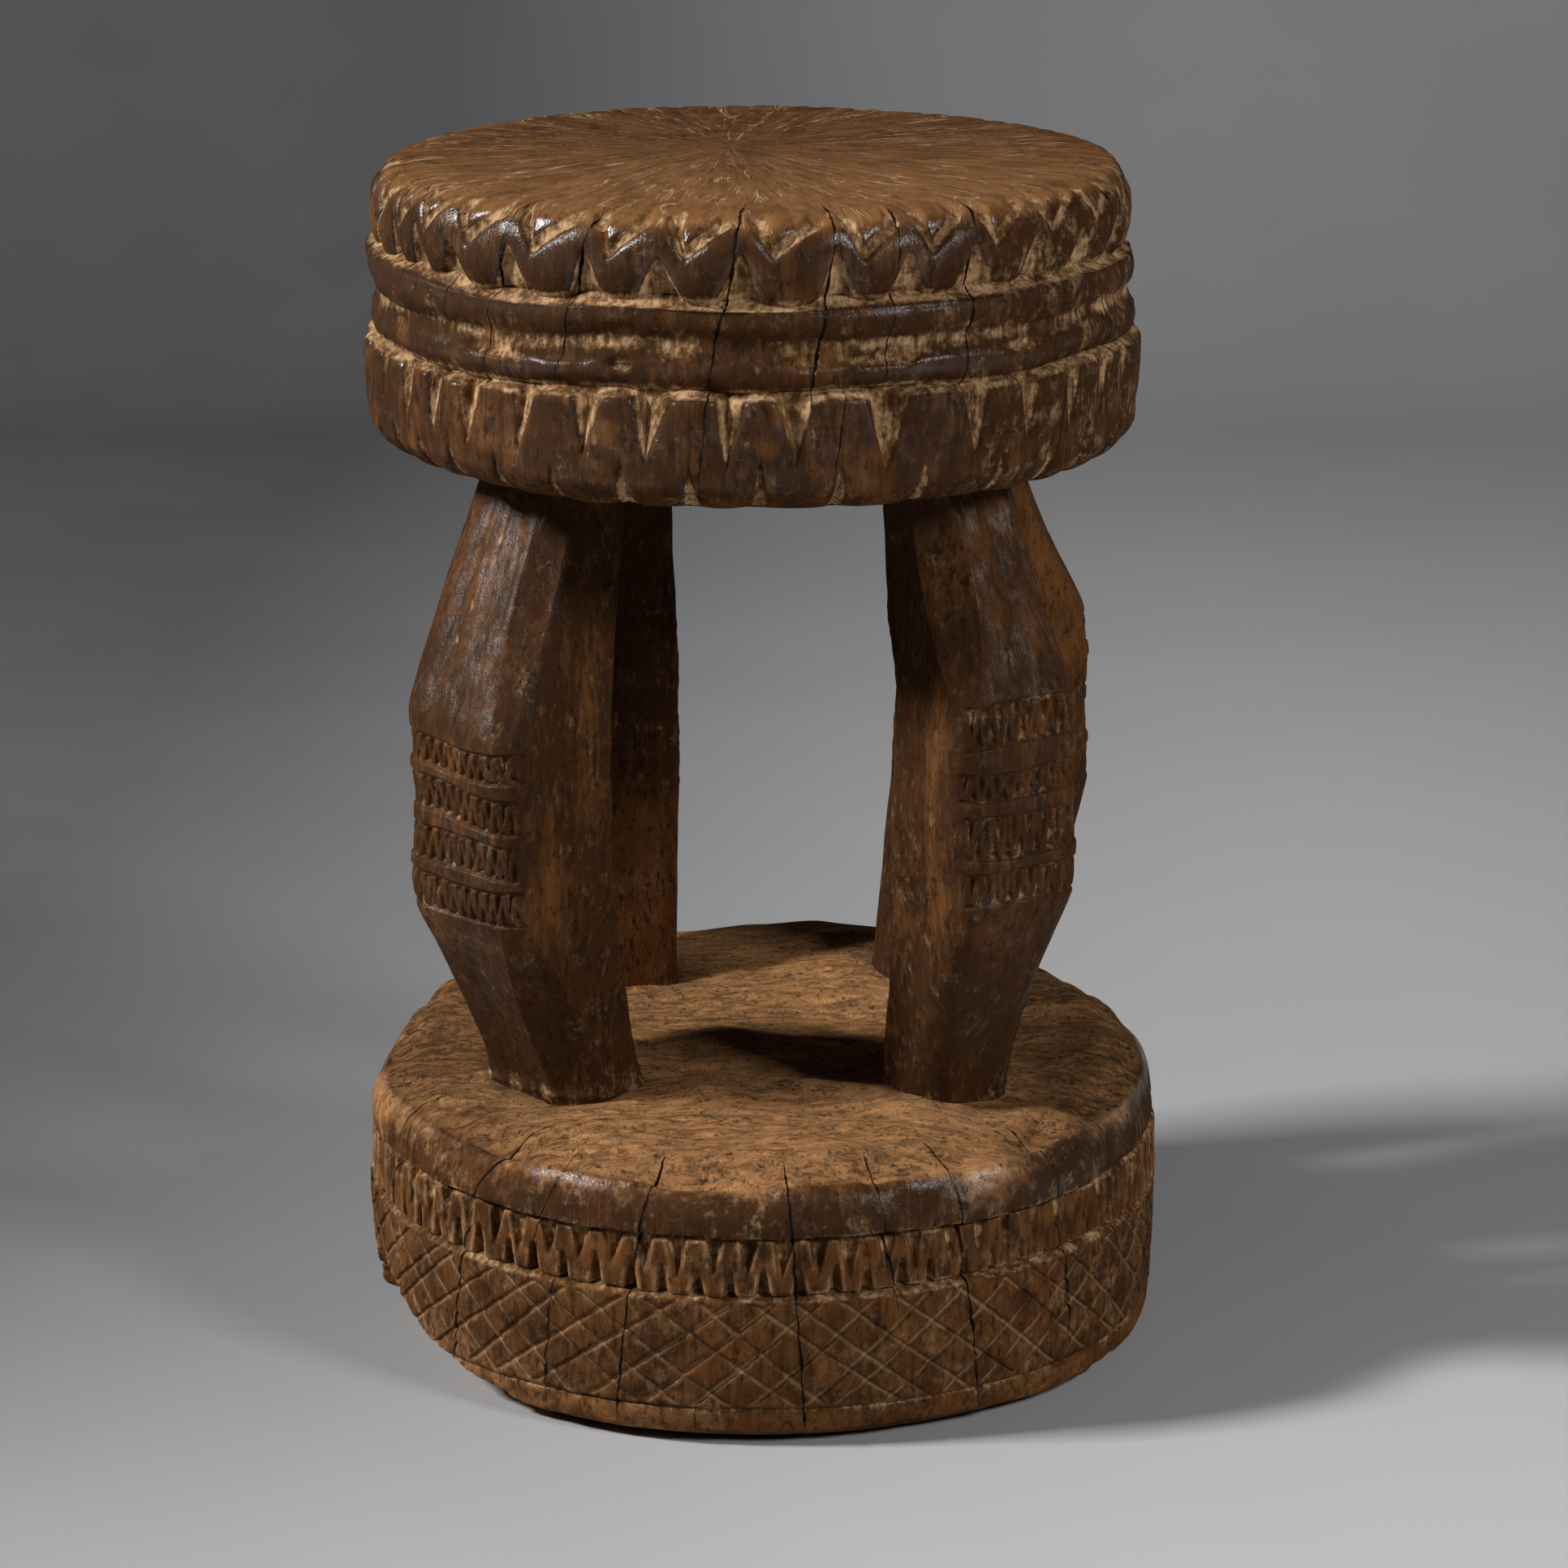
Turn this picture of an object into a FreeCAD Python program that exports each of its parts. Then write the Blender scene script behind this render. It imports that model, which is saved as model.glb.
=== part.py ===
"""Round carved stool hewn from one log: a thick drum seat on four bowed legs on a drum base.

Millimetres, +Z up, origin on the ground under the middle of the base, -Y towards the front.
The log was never sawn into pieces; its six members are modelled as six solids that meet face to face.
Every size is a cell of the spreadsheet "sizes", and every feature reads its sizes from those cells.
"""
import FreeCAD, Part
import os

import Sketcher

PARTS_FOLDER = "parts"
FULL_TURN = 360.0
# Straight flats that the adze leaves on each swelling edge.
FLATS = 3

# The driving dimensions: alias, value in millimetres, degrees or a count, and what it measures.
SIZES = [
    ("base_radius", 135.0, "widest radius of the base, at its zigzag band"),
    ("base_contact_inset", 17.0, "from the widest radius in to the edge of the resting face"),
    ("base_foot_inset", 3.5, "from the widest radius in to the lower edge of the foot band"),
    ("base_hatch_inset", 1.5, "from the widest radius in to the bottom of the hatched field"),
    ("base_top_inset", 12.0, "from the widest radius in to the edge of the flat top"),
    ("foot_lift", 5.0, "height of the worn arris under the foot band"),
    ("foot_swell", 1.5, "how far the worn arris swells out from a straight slope"),
    ("foot_band", 7.5, "height of the plain foot band"),
    ("hatch_band", 37.0, "height of the cross-hatched field"),
    ("zigzag_band", 19.0, "height of the zigzag band"),
    ("shoulder_height", 22.5, "height of the worn shoulder, from the zigzag band to the flat top"),
    ("shoulder_swell", 4.0, "how far the worn shoulder swells out from a straight slope"),
    ("line_width", 2.0, "height of each incised ring line on the base"),
    ("line_depth", 1.6, "depth of each incised ring line on the base"),
    ("zigzag_sink", 1.2, "depth to which the zigzag band is let into the base"),
    ("leg_height", 213.0, "clear height between the base and the seat"),
    ("leg_hollow", 11.0, "how far the inner face is hollowed outwards at the knee"),
    ("leg_top_thick", 25.0, "radial thickness of a leg under the seat"),
    ("leg_knee_thick", 51.0, "radial thickness of a leg at the knee"),
    ("leg_foot_thick", 34.5, "radial thickness of a leg on the base"),
    ("leg_top_taper", 12.0, "how much narrower a leg is under the seat than at the knee"),
    ("leg_foot_taper", 8.0, "how much narrower a leg is on the base than at the knee"),
    ("leg_outer_round", 11.0, "corner radius of the outer arrises at the ends"),
    ("leg_knee_round", 19.0, "corner radius of the outer arrises at the knee"),
    ("leg_inner_round", 5.0, "corner radius of the inner arrises"),
    ("knee_panel", 62.0, "height of the upright knee face that carries the panel"),
    ("row_count", 4, "carved rows on each knee panel"),
    ("row_height", 9.5, "height of one carved row"),
    ("row_pitch", 14.5, "from one carved row to the next"),
    ("row_start", 2.0, "from the lower corner of the knee to the first row"),
    ("row_depth", 1.5, "depth of a carved row"),
    ("azimuth_front_left", -60.0, "direction of the front left leg, from the front"),
    ("azimuth_front_right", 48.0, "direction of the front right leg, from the front"),
    ("azimuth_back_right", 126.5, "direction of the back right leg, from the front"),
    ("azimuth_back_left", -144.0, "direction of the back left leg, from the front"),
    ("reach_front_left", 64.0, "from the axis to the inner face of the front left leg, at its ends"),
    ("reach_front_right", 65.0, "from the axis to the inner face of the front right leg, at its ends"),
    ("reach_back_right", 67.0, "from the axis to the inner face of the back right leg, at its ends"),
    ("reach_back_left", 70.0, "from the axis to the inner face of the back left leg, at its ends"),
    ("width_front_left", 58.0, "width of the front left leg at the knee"),
    ("width_front_right", 50.0, "width of the front right leg at the knee"),
    ("width_back_right", 58.0, "width of the back right leg at the knee"),
    ("width_back_left", 54.0, "width of the back left leg at the knee"),
    ("knee_front_left", 70.0, "from the base up to the knee of the front left leg"),
    ("knee_front_right", 79.0, "from the base up to the knee of the front right leg"),
    ("knee_back_right", 78.0, "from the base up to the knee of the back right leg"),
    ("knee_back_left", 72.0, "from the base up to the knee of the back left leg"),
    ("front_twist", 13.0, "how far the front legs' faces are turned in to the front, in degrees"),
    ("seat_shift", 3.5, "how far the seat stands to the left of the base, as the log leaned"),
    ("seat_radius", 127.5, "widest radius of the seat, at its lower band"),
    ("seat_under_inset", 14.0, "from the widest radius in to the edge of the flat underside"),
    ("seat_lower_inset", 1.5, "from the widest radius in to the bottom of the lower band"),
    ("seat_root_inset", 6.5, "from the widest radius in to the roots of the ridges and the ledge"),
    ("seat_upper_inset", 3.0, "from the widest radius in to the upper band"),
    ("seat_top_inset", 14.0, "from the widest radius in to the edge of the flat top"),
    ("seat_under_rise", 8.0, "height of the rounded lower arris of the seat"),
    ("seat_under_swell", 2.5, "how far the lower arris swells out from a straight slope"),
    ("lower_band", 29.0, "height of the lower toothed band"),
    ("ridge_height", 13.0, "height of each of the two ridges"),
    ("ridge_swell", 4.0, "how far each ridge stands out from its roots"),
    ("ledge_height", 4.0, "height of the ledge over the upper ridge"),
    ("upper_band", 16.0, "height of the upper chevron band below the rounded edge"),
    ("top_round", 9.0, "height of the rounded edge of the seat"),
    ("top_swell", 2.6, "how far the rounded edge swells out from a straight slope"),
    ("chevron_count", 27, "chevrons round the upper band"),
    ("chevron_width", 22.0, "width of a chevron at the top"),
    ("chevron_arm", 5.0, "width of a chevron's arm along the top"),
    ("chevron_drop", 17.0, "from the top of the seat down to a chevron's point"),
    ("chevron_depth", 4.0, "depth of a chevron"),
    ("gusset_width", 15.0, "width of the cut between two tongues, at the ledge"),
    ("gusset_rise", 13.0, "height of the cut between two tongues"),
    ("gusset_depth", 4.5, "depth of the cut between two tongues"),
    ("tooth_count", 33, "teeth round the lower band"),
    ("tooth_gap", 15.0, "width of the cut between two teeth, at the top"),
    ("tooth_drop", 22.0, "height of the cut between two teeth"),
    ("tooth_depth", 4.0, "depth of the cut between two teeth"),
    ("nick_width", 7.0, "width of the nick under a tooth, at the bottom"),
    ("nick_rise", 12.0, "height of the nick under a tooth"),
    ("nick_depth", 3.0, "depth of the nick under a tooth"),
]

# Heights that follow from the driving dimensions, as expressions.
FOOT_TOP = "(sizes.foot_lift + sizes.foot_band)"
HATCH_BOTTOM = f"({FOOT_TOP} + sizes.line_width)"
HATCH_TOP = f"({HATCH_BOTTOM} + sizes.hatch_band)"
ZIGZAG_BOTTOM = f"({HATCH_TOP} + sizes.line_width)"
ZIGZAG_TOP = f"({ZIGZAG_BOTTOM} + sizes.zigzag_band)"
BASE_TOP = f"({ZIGZAG_TOP} + sizes.shoulder_height)"
SEAT_BOTTOM = f"({BASE_TOP} + sizes.leg_height)"
LOWER_BOTTOM = f"({SEAT_BOTTOM} + sizes.seat_under_rise)"
LOWER_TOP = f"({LOWER_BOTTOM} + sizes.lower_band)"
RIDGE_SPLIT = f"({LOWER_TOP} + sizes.ridge_height)"
RIDGE_TOP = f"({RIDGE_SPLIT} + sizes.ridge_height)"
LEDGE_TOP = f"({RIDGE_TOP} + sizes.ledge_height)"
UPPER_TOP = f"({LEDGE_TOP} + sizes.upper_band)"
SEAT_TOP = f"({UPPER_TOP} + sizes.top_round)"


def make_sheet(doc):
    """Writes the driving dimensions into a spreadsheet, one aliased cell each."""
    sheet = doc.addObject("Spreadsheet::Sheet", "sizes")
    for row, (alias, value, meaning) in enumerate(SIZES, start=1):
        sheet.set(f"A{row}", alias)
        sheet.set(f"B{row}", str(value))
        sheet.set(f"C{row}", meaning)
        sheet.setAlias(f"B{row}", alias)
    doc.recompute()
    return sheet


def measure(sheet, expression):
    """The present value of an expression, as a plain number."""
    found = sheet.evalExpression(expression)
    return float(getattr(found, "Value", found))


def origin_feature(body, role):
    """One of the body's own origin planes or axes."""
    return next(f for f in body.Origin.OriginFeatures if f.Role == role)


def make_sketch(body, name, plane_role):
    """An empty sketch on one of the body's origin planes."""
    sketch = body.newObject("Sketcher::SketchObject", name)
    sketch.AttachmentSupport = [(origin_feature(body, plane_role), "")]
    sketch.MapMode = "FlatFace"
    return sketch


def bind(sketch, constraint, expression):
    """Adds a dimensional constraint and ties it to an expression."""
    index = sketch.addConstraint(constraint)
    sketch.setExpression(f"Constraints[{index}]", expression)


def place_point(sketch, sheet, edge, along, across):
    """Fixes the start point of an edge of a sketch at two expressions, measured from the sketch's origin."""
    for kind, axis, expression in (("DistanceX", -2, along), ("DistanceY", -1, across)):
        if expression == "0":
            sketch.addConstraint(Sketcher.Constraint("PointOnObject", edge, 1, axis))
        else:
            value = measure(sheet, expression)
            bind(sketch, Sketcher.Constraint(kind, -1, 1, edge, 1, value), expression)


def hew_flats(corners):
    """Turns each swelling edge into straight flats, as the adze leaves it.

    A corner is a pair of expressions. A third one makes the edge that starts there swell out so far: the points
    between its ends lie on the chord plus 4 t (1 - t) times the swell, square to the chord."""
    hewn = []
    for start, end in zip(corners, corners[1:] + corners[:1]):
        hewn.append(start[:2])
        if len(start) == 2:
            continue
        along, across = (f"({end[axis]} - ({start[axis]}))" for axis in (0, 1))
        for flat in range(1, FLATS):
            share = f"{flat} / {FLATS}"
            swell = f"4 * {share} * (1 - {share}) * {start[2]} / sqrt({along}^2 + {across}^2)"
            hewn.append((
                f"{start[0]} + {share} * {along} + {swell} * {across}",
                f"{start[1]} + {share} * {across} - {swell} * {along}",
            ))
    return hewn


def draw_outline(sketch, sheet, corners):
    """Draws a closed outline of straight edges, anticlockwise, from corners that are pairs of expressions."""
    count = len(corners)
    points = [FreeCAD.Vector(measure(sheet, along), measure(sheet, across), 0) for along, across in corners]
    for i, start in enumerate(points):
        sketch.addGeometry(Part.LineSegment(start, points[(i + 1) % count]), False)
    for i in range(count):
        sketch.addConstraint(Sketcher.Constraint("Coincident", i, 2, (i + 1) % count, 1))
    for i, (along, across) in enumerate(corners):
        place_point(sketch, sheet, i, along, across)


def revolve(body, sheet, name, corners):
    """A solid of revolution about Z, from the corners of its half section as (radius, height)."""
    sketch = make_sketch(body, f"{name}_section", "XZ_Plane")
    draw_outline(sketch, sheet, hew_flats(corners))
    turned = body.newObject("PartDesign::Revolution", f"{name}_turned")
    turned.Profile = sketch
    turned.ReferenceAxis = (sketch, ["V_Axis"])
    turned.Angle = FULL_TURN
    body.Document.recompute()
    return turned


def cut_outwards(body, sheet, name, corners, floor, depth, turn="0"):
    """Cuts a flat-floored recess into the front of a body, out from the plane at radius floor.

    corners are (sideways, height) pairs, and turn is the angle from the front, in degrees."""
    sketch = make_sketch(body, f"{name}_outline", "XZ_Plane")
    draw_outline(sketch, sheet, corners)
    sketch.AttachmentOffset = FreeCAD.Placement(
        FreeCAD.Vector(0, 0, 0), FreeCAD.Rotation(FreeCAD.Vector(0, 1, 0), 1.0)
    )
    sketch.setExpression("AttachmentOffset.Base.x", f"{floor} * sin({turn} * 1 deg)")
    sketch.setExpression("AttachmentOffset.Base.z", f"{floor} * cos({turn} * 1 deg)")
    sketch.setExpression("AttachmentOffset.Rotation.Angle", f"{turn} * 1 deg")
    whole = body.Shape.Volume
    pocket = body.newObject("PartDesign::Pocket", name)
    pocket.Profile = sketch
    pocket.Reversed = True
    pocket.setExpression("Length", f"3 * {depth}")
    body.Document.recompute()
    if body.Shape.Volume >= whole:
        raise RuntimeError(f"{name} cuts nothing")
    return pocket


def ring_of(body, name, cuts, count):
    """Repeats cuts evenly round the Z axis."""
    ring = body.newObject("PartDesign::PolarPattern", name)
    ring.Originals = cuts
    ring.Axis = (origin_feature(body, "Z_Axis"), [""])
    ring.Angle = FULL_TURN
    ring.setExpression("Occurrences", count)
    body.Tip = ring
    body.Document.recompute()


def new_body(doc, label):
    body = doc.addObject("PartDesign::Body", label)
    body.Label = label
    return body


def make_base(doc, sheet):
    """The base: a drum with a worn shoulder, a let-in zigzag band, a hatched field and a foot band."""
    body = new_body(doc, "base")
    wide = "sizes.base_radius"
    hatch = f"({wide} - sizes.base_hatch_inset)"
    zigzag = f"({wide} - sizes.zigzag_sink)"
    corners = [
        ("0", "0"),
        (f"{wide} - sizes.base_contact_inset", "0", "sizes.foot_swell"),
        (f"{wide} - sizes.base_foot_inset", "sizes.foot_lift"),
        (hatch, FOOT_TOP),
        (f"{hatch} - sizes.line_depth", f"{FOOT_TOP} + sizes.line_width / 2"),
        (hatch, HATCH_BOTTOM),
        (wide, HATCH_TOP),
        (f"{wide} - sizes.line_depth", f"{HATCH_TOP} + sizes.line_width / 2"),
        (zigzag, ZIGZAG_BOTTOM),
        (zigzag, ZIGZAG_TOP),
        (wide, ZIGZAG_TOP, "sizes.shoulder_swell"),
        (f"{wide} - sizes.base_top_inset", BASE_TOP),
        ("0", BASE_TOP),
    ]
    revolve(body, sheet, "base", corners)
    return body


def make_seat(doc, sheet):
    """The seat: a drum with a toothed lower band, two ridges and a chevron band under a rounded edge."""
    body = new_body(doc, "seat")
    wide = "sizes.seat_radius"
    root = f"({wide} - sizes.seat_root_inset)"
    upper = f"({wide} - sizes.seat_upper_inset)"
    corners = [
        ("0", SEAT_BOTTOM),
        (f"{wide} - sizes.seat_under_inset", SEAT_BOTTOM, "sizes.seat_under_swell"),
        (f"{wide} - sizes.seat_lower_inset", LOWER_BOTTOM),
        (wide, LOWER_TOP),
        (root, LOWER_TOP, "sizes.ridge_swell"),
        (root, RIDGE_SPLIT, "sizes.ridge_swell"),
        (root, RIDGE_TOP),
        (root, LEDGE_TOP),
        (upper, LEDGE_TOP),
        (upper, UPPER_TOP, "sizes.top_swell"),
        (f"{wide} - sizes.seat_top_inset", SEAT_TOP),
        ("0", SEAT_TOP),
    ]
    revolve(body, sheet, "seat", corners)

    half = "sizes.chevron_width / 2"
    point = f"({SEAT_TOP} - sizes.chevron_drop)"
    steep = "(2 * sizes.chevron_drop * sizes.chevron_arm / sizes.chevron_width)"
    chevron = [
        ("0", point),
        (half, SEAT_TOP),
        (f"{half} - sizes.chevron_arm", SEAT_TOP),
        ("0", f"{point} + {steep}"),
        (f"sizes.chevron_arm - {half}", SEAT_TOP),
        (f"-{half}", SEAT_TOP),
    ]
    gusset = [
        ("-sizes.gusset_width / 2", LEDGE_TOP),
        ("sizes.gusset_width / 2", LEDGE_TOP),
        ("0", f"{LEDGE_TOP} + sizes.gusset_rise"),
    ]
    tooth_gap = [
        ("-sizes.tooth_gap / 2", LOWER_TOP),
        ("0", f"{LOWER_TOP} - sizes.tooth_drop"),
        ("sizes.tooth_gap / 2", LOWER_TOP),
    ]
    nick = [
        ("-sizes.nick_width / 2", SEAT_BOTTOM),
        ("sizes.nick_width / 2", SEAT_BOTTOM),
        ("0", f"{SEAT_BOTTOM} + sizes.nick_rise"),
    ]
    bands = [
        ("chevron", "gusset", chevron, gusset, upper, "sizes.chevron_count"),
        ("tooth", "nick", tooth_gap, nick, wide, "sizes.tooth_count"),
    ]
    for first, second, outline, between, radius, count in bands:
        cuts = []
        for name, corners, turn in ((first, outline, "0"), (second, between, f"(180 / {count})")):
            depth = f"sizes.{name}_depth"
            cuts.append(cut_outwards(body, sheet, name, corners, f"({radius} - {depth})", depth, turn))
        ring_of(body, f"{first}_ring", cuts, count)
    body.setExpression("Placement.Base.x", "-sizes.seat_shift")
    return body


def draw_leg_section(sketch, sheet, inner, thick, width, outer_round, inner_round):
    """Draws a leg's section: a rectangle across the front radius with rounded corners."""
    near = measure(sheet, inner)
    far = near + measure(sheet, thick)
    half = measure(sheet, width) / 2
    big = measure(sheet, outer_round)
    small = measure(sheet, inner_round)
    corner_arcs = [
        (half - small, -near - small, small, 0.0, 90.0),
        (-half + small, -near - small, small, 90.0, 180.0),
        (-half + big, -far + big, big, 180.0, 270.0),
        (half - big, -far + big, big, 270.0, 360.0),
    ]
    arcs = []
    for x, y, radius, start, end in corner_arcs:
        circle = Part.Circle(FreeCAD.Vector(x, y, 0), FreeCAD.Vector(0, 0, 1), radius)
        begin = FreeCAD.Units.Quantity(start, "deg").getValueAs("rad").Value
        finish = FreeCAD.Units.Quantity(end, "deg").getValueAs("rad").Value
        arcs.append(Part.ArcOfCircle(circle, begin, finish))
    for i, arc in enumerate(arcs):
        sketch.addGeometry(arc, False)
        sketch.addGeometry(Part.LineSegment(arc.EndPoint, arcs[(i + 1) % 4].StartPoint), False)
    for corner in range(4):
        arc = 2 * corner
        side = arc + 1
        following = (arc + 2) % 8
        sketch.addConstraint(Sketcher.Constraint("Tangent", arc, 2, side, 1))
        sketch.addConstraint(Sketcher.Constraint("Tangent", side, 2, following, 1))
        sketch.addConstraint(Sketcher.Constraint("Vertical" if corner % 2 else "Horizontal", side))
    sketch.addConstraint(Sketcher.Constraint("Equal", 0, 2))
    sketch.addConstraint(Sketcher.Constraint("Equal", 4, 6))
    bind(sketch, Sketcher.Constraint("Radius", 0, small), inner_round)
    bind(sketch, Sketcher.Constraint("Radius", 4, big), outer_round)
    bind(sketch, Sketcher.Constraint("DistanceY", 1, 1, -1, 1, near), inner)
    bind(sketch, Sketcher.Constraint("DistanceY", 5, 1, -1, 1, far), f"{inner} + {thick}")
    bind(sketch, Sketcher.Constraint("DistanceX", -1, 1, 7, 1, half), f"{width} / 2")
    bind(sketch, Sketcher.Constraint("DistanceX", 3, 1, -1, 1, half), f"{width} / 2")


def make_leg(doc, sheet, place, twist):
    """One bowed leg: straight-sided from foot to knee, upright at the knee and tapering in to the seat.

    twist is how far the leg is turned about its own middle, from square to the radius, in degrees."""
    body = new_body(doc, f"leg_{place}")
    ends = f"sizes.reach_{place}"
    knee = f"({ends} + sizes.leg_hollow)"
    wide = f"sizes.width_{place}"
    knee_low = f"({BASE_TOP} + sizes.knee_{place})"
    knee_high = f"({knee_low} + sizes.knee_panel)"
    end_round = "sizes.leg_outer_round"
    knee_round = "sizes.leg_knee_round"
    foot_wide = f"({wide} - sizes.leg_foot_taper)"
    top_wide = f"({wide} - sizes.leg_top_taper)"
    stations = [
        ("foot", BASE_TOP, ends, "sizes.leg_foot_thick", foot_wide, end_round),
        ("knee_low", knee_low, knee, "sizes.leg_knee_thick", wide, knee_round),
        ("knee_high", knee_high, knee, "sizes.leg_knee_thick", wide, knee_round),
        ("top", SEAT_BOTTOM, ends, "sizes.leg_top_thick", top_wide, end_round),
    ]
    sections = []
    for name, height, inner, thick, width, outer_round in stations:
        sketch = make_sketch(body, f"{name}_section_{place}", "XY_Plane")
        sketch.setExpression("AttachmentOffset.Base.z", height)
        draw_leg_section(sketch, sheet, inner, thick, width, outer_round, "sizes.leg_inner_round")
        sections.append(sketch)
    doc.recompute()
    loft = body.newObject("PartDesign::AdditiveLoft", f"bowed_leg_{place}")
    loft.Profile = sections[0]
    loft.Sections = sections[1:]
    loft.Ruled = True
    doc.recompute()

    low = f"({knee_low} + sizes.row_start)"
    high = f"({low} + sizes.row_height)"
    row = [(f"-{wide} / 2", low), (f"{wide} / 2", low), (f"{wide} / 2", high), (f"-{wide} / 2", high)]
    floor = f"({knee} + sizes.leg_knee_thick - sizes.row_depth)"
    cut = cut_outwards(body, sheet, f"row_{place}", row, floor, "sizes.row_depth")
    rows = body.newObject("PartDesign::LinearPattern", f"panel_{place}")
    rows.Originals = [cut]
    rows.Direction = (origin_feature(body, "Z_Axis"), [""])
    rows.setExpression("Length", "(sizes.row_count - 1) * sizes.row_pitch")
    rows.setExpression("Occurrences", "sizes.row_count")
    body.Tip = rows
    body.Placement = FreeCAD.Placement(
        FreeCAD.Vector(0, 0, 0), FreeCAD.Rotation(FreeCAD.Vector(0, 0, 1), 1.0)
    )
    square = f"sizes.azimuth_{place} * 1 deg"
    turned = f"(sizes.azimuth_{place} + {twist}) * 1 deg"
    middle = f"({ends} + sizes.leg_knee_thick / 2)"
    body.setExpression("Placement.Rotation.Angle", turned)
    body.setExpression("Placement.Base.x", f"{middle} * (sin({square}) - sin({turned}))")
    body.setExpression("Placement.Base.y", f"{middle} * (cos({turned}) - cos({square}))")
    doc.recompute()
    return body


def check(doc, bodies):
    """Stops the build if any object failed or any member isn't one closed, valid solid."""
    for obj in doc.Objects:
        if "Invalid" in obj.State or "Error" in obj.State:
            raise RuntimeError(f"{obj.Label} failed to compute: {obj.State}")
    for body in bodies:
        shape = body.Shape
        if shape.isNull() or not shape.isValid() or len(shape.Solids) != 1:
            raise RuntimeError(f"{body.Label} isn't one valid solid")


def main():
    doc = FreeCAD.newDocument("stool")
    sheet = make_sheet(doc)
    bodies = [make_base(doc, sheet), make_seat(doc, sheet)]
    twists = {
        "front_left": "sizes.front_twist",
        "front_right": "-sizes.front_twist",
        "back_right": "0",
        "back_left": "0",
    }
    for place, twist in twists.items():
        bodies.append(make_leg(doc, sheet, place, twist))
    doc.recompute()
    check(doc, bodies)
    os.makedirs(PARTS_FOLDER, exist_ok=True)
    for body in bodies:
        body.Shape.exportStep(os.path.join(PARTS_FOLDER, f"{body.Label}.step"))
        print(body.Label, "volume", round(body.Shape.Volume), "faces", len(body.Shape.Faces))


main()
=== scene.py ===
"""Carved log stool: a drum seat, four bowed legs and a drum base, dressed as old waxed wood.

Lengths are in millimetres until a mesh is laid, +Z is up and -Y is the front. Angles round the stool are in
degrees from the front, positive towards the right.
"""
import logging
import math
from dataclasses import dataclass
from enum import Enum

import bpy
import numpy as np
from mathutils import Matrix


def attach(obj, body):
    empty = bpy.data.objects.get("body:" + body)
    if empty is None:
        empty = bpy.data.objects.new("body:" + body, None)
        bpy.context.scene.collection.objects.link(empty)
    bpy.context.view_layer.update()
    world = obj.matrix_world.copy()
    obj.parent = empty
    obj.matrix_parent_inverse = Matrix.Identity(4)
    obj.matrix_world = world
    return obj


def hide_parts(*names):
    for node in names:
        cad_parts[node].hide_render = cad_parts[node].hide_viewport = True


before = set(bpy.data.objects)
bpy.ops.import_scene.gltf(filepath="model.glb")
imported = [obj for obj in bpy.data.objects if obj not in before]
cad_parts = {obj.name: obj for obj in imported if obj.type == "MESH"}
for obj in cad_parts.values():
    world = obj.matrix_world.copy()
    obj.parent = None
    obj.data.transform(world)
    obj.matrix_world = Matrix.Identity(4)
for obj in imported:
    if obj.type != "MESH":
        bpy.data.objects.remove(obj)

log = logging.getLogger("stool")

MM = 0.001
ROOT = "root"
# The fall of a chip's side that stays open.
OPEN = 60.0
# A distance at which no crack and no scored line shows.
FAR = 9.0
Colour = tuple[float, float, float, float]
Triple = tuple[float, float, float]
Path = tuple[tuple[float, float], ...]
Runs = tuple[tuple[float, float, float, float], ...]
Number = np.ndarray | float
Fields = dict[str, Number]


class Op(Enum):
    """The sums that a finish works out on its numbers."""

    ADD = "ADD"
    TAKE = "SUBTRACT"
    TIMES = "MULTIPLY"
    MOST = "MAXIMUM"
    SIZE = "ABSOLUTE"


class Arrow(Enum):
    """The sums that a finish works out on its places."""

    UNIT = "NORMALIZE"
    LENGTH = "LENGTH"
    TIMES = "SCALE"
    ADD = "ADD"


class Place(Enum):
    """Where a leg stands."""

    FRONT_LEFT = "front_left"
    FRONT_RIGHT = "front_right"
    BACK_RIGHT = "back_right"
    BACK_LEFT = "back_left"


class Mark(Enum):
    """What a patch does to the wood's colour: a worn or stained patch, or one that paints light or shade."""

    STAIN = "stain"
    WARM = "warm"
    PALE = "pale"


def hold(value: np.ndarray, high: float = 1.0) -> np.ndarray:
    """Numbers kept between 0 and a limit."""
    return np.clip(value, 0.0, high)


def ease(low: float, high: float, value: np.ndarray) -> np.ndarray:
    """Rises smoothly from 0 at low to 1 at high: t*t*(3-2t), with t the clipped share of the way.

    Args:
        low: where the rise starts; above high, it is a fall.
        high: where the rise ends.
        value: the numbers to look up.

    Returns:
        The shares, from 0 to 1.
    """
    share = hold((value - low) / (high - low))
    return share * share * (3.0 - 2.0 * share)


def lump(value: np.ndarray, middle: float, spread: float) -> np.ndarray:
    """A bell: exp of minus the square of the distance from the middle in spreads."""
    return np.exp(-(((value - middle) / spread) ** 2))


def turn_gap(angles: np.ndarray, middle: Number) -> np.ndarray:
    """The signed turn in degrees from an angle to others, the short way round."""
    return (angles - middle + 180.0) % 360.0 - 180.0


def blur(relief: np.ndarray, cells: tuple[float, float]) -> np.ndarray:
    """Blurs a relief that closes on itself: a Fourier term of frequency f is damped by exp(-2 (pi f s)^2).

    Args:
        relief: rows by columns.
        cells: the size s of the blur along the rows' and the columns' direction, in grid steps.

    Returns:
        The blurred relief.
    """
    along = np.fft.fftfreq(relief.shape[0])[:, None] * cells[0]
    across = np.fft.rfftfreq(relief.shape[1])[None, :] * cells[1]
    damped = np.fft.rfft2(relief) * np.exp(-2.0 * np.pi**2 * (along**2 + across**2))
    return np.fft.irfft2(damped, s=relief.shape)


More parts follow.
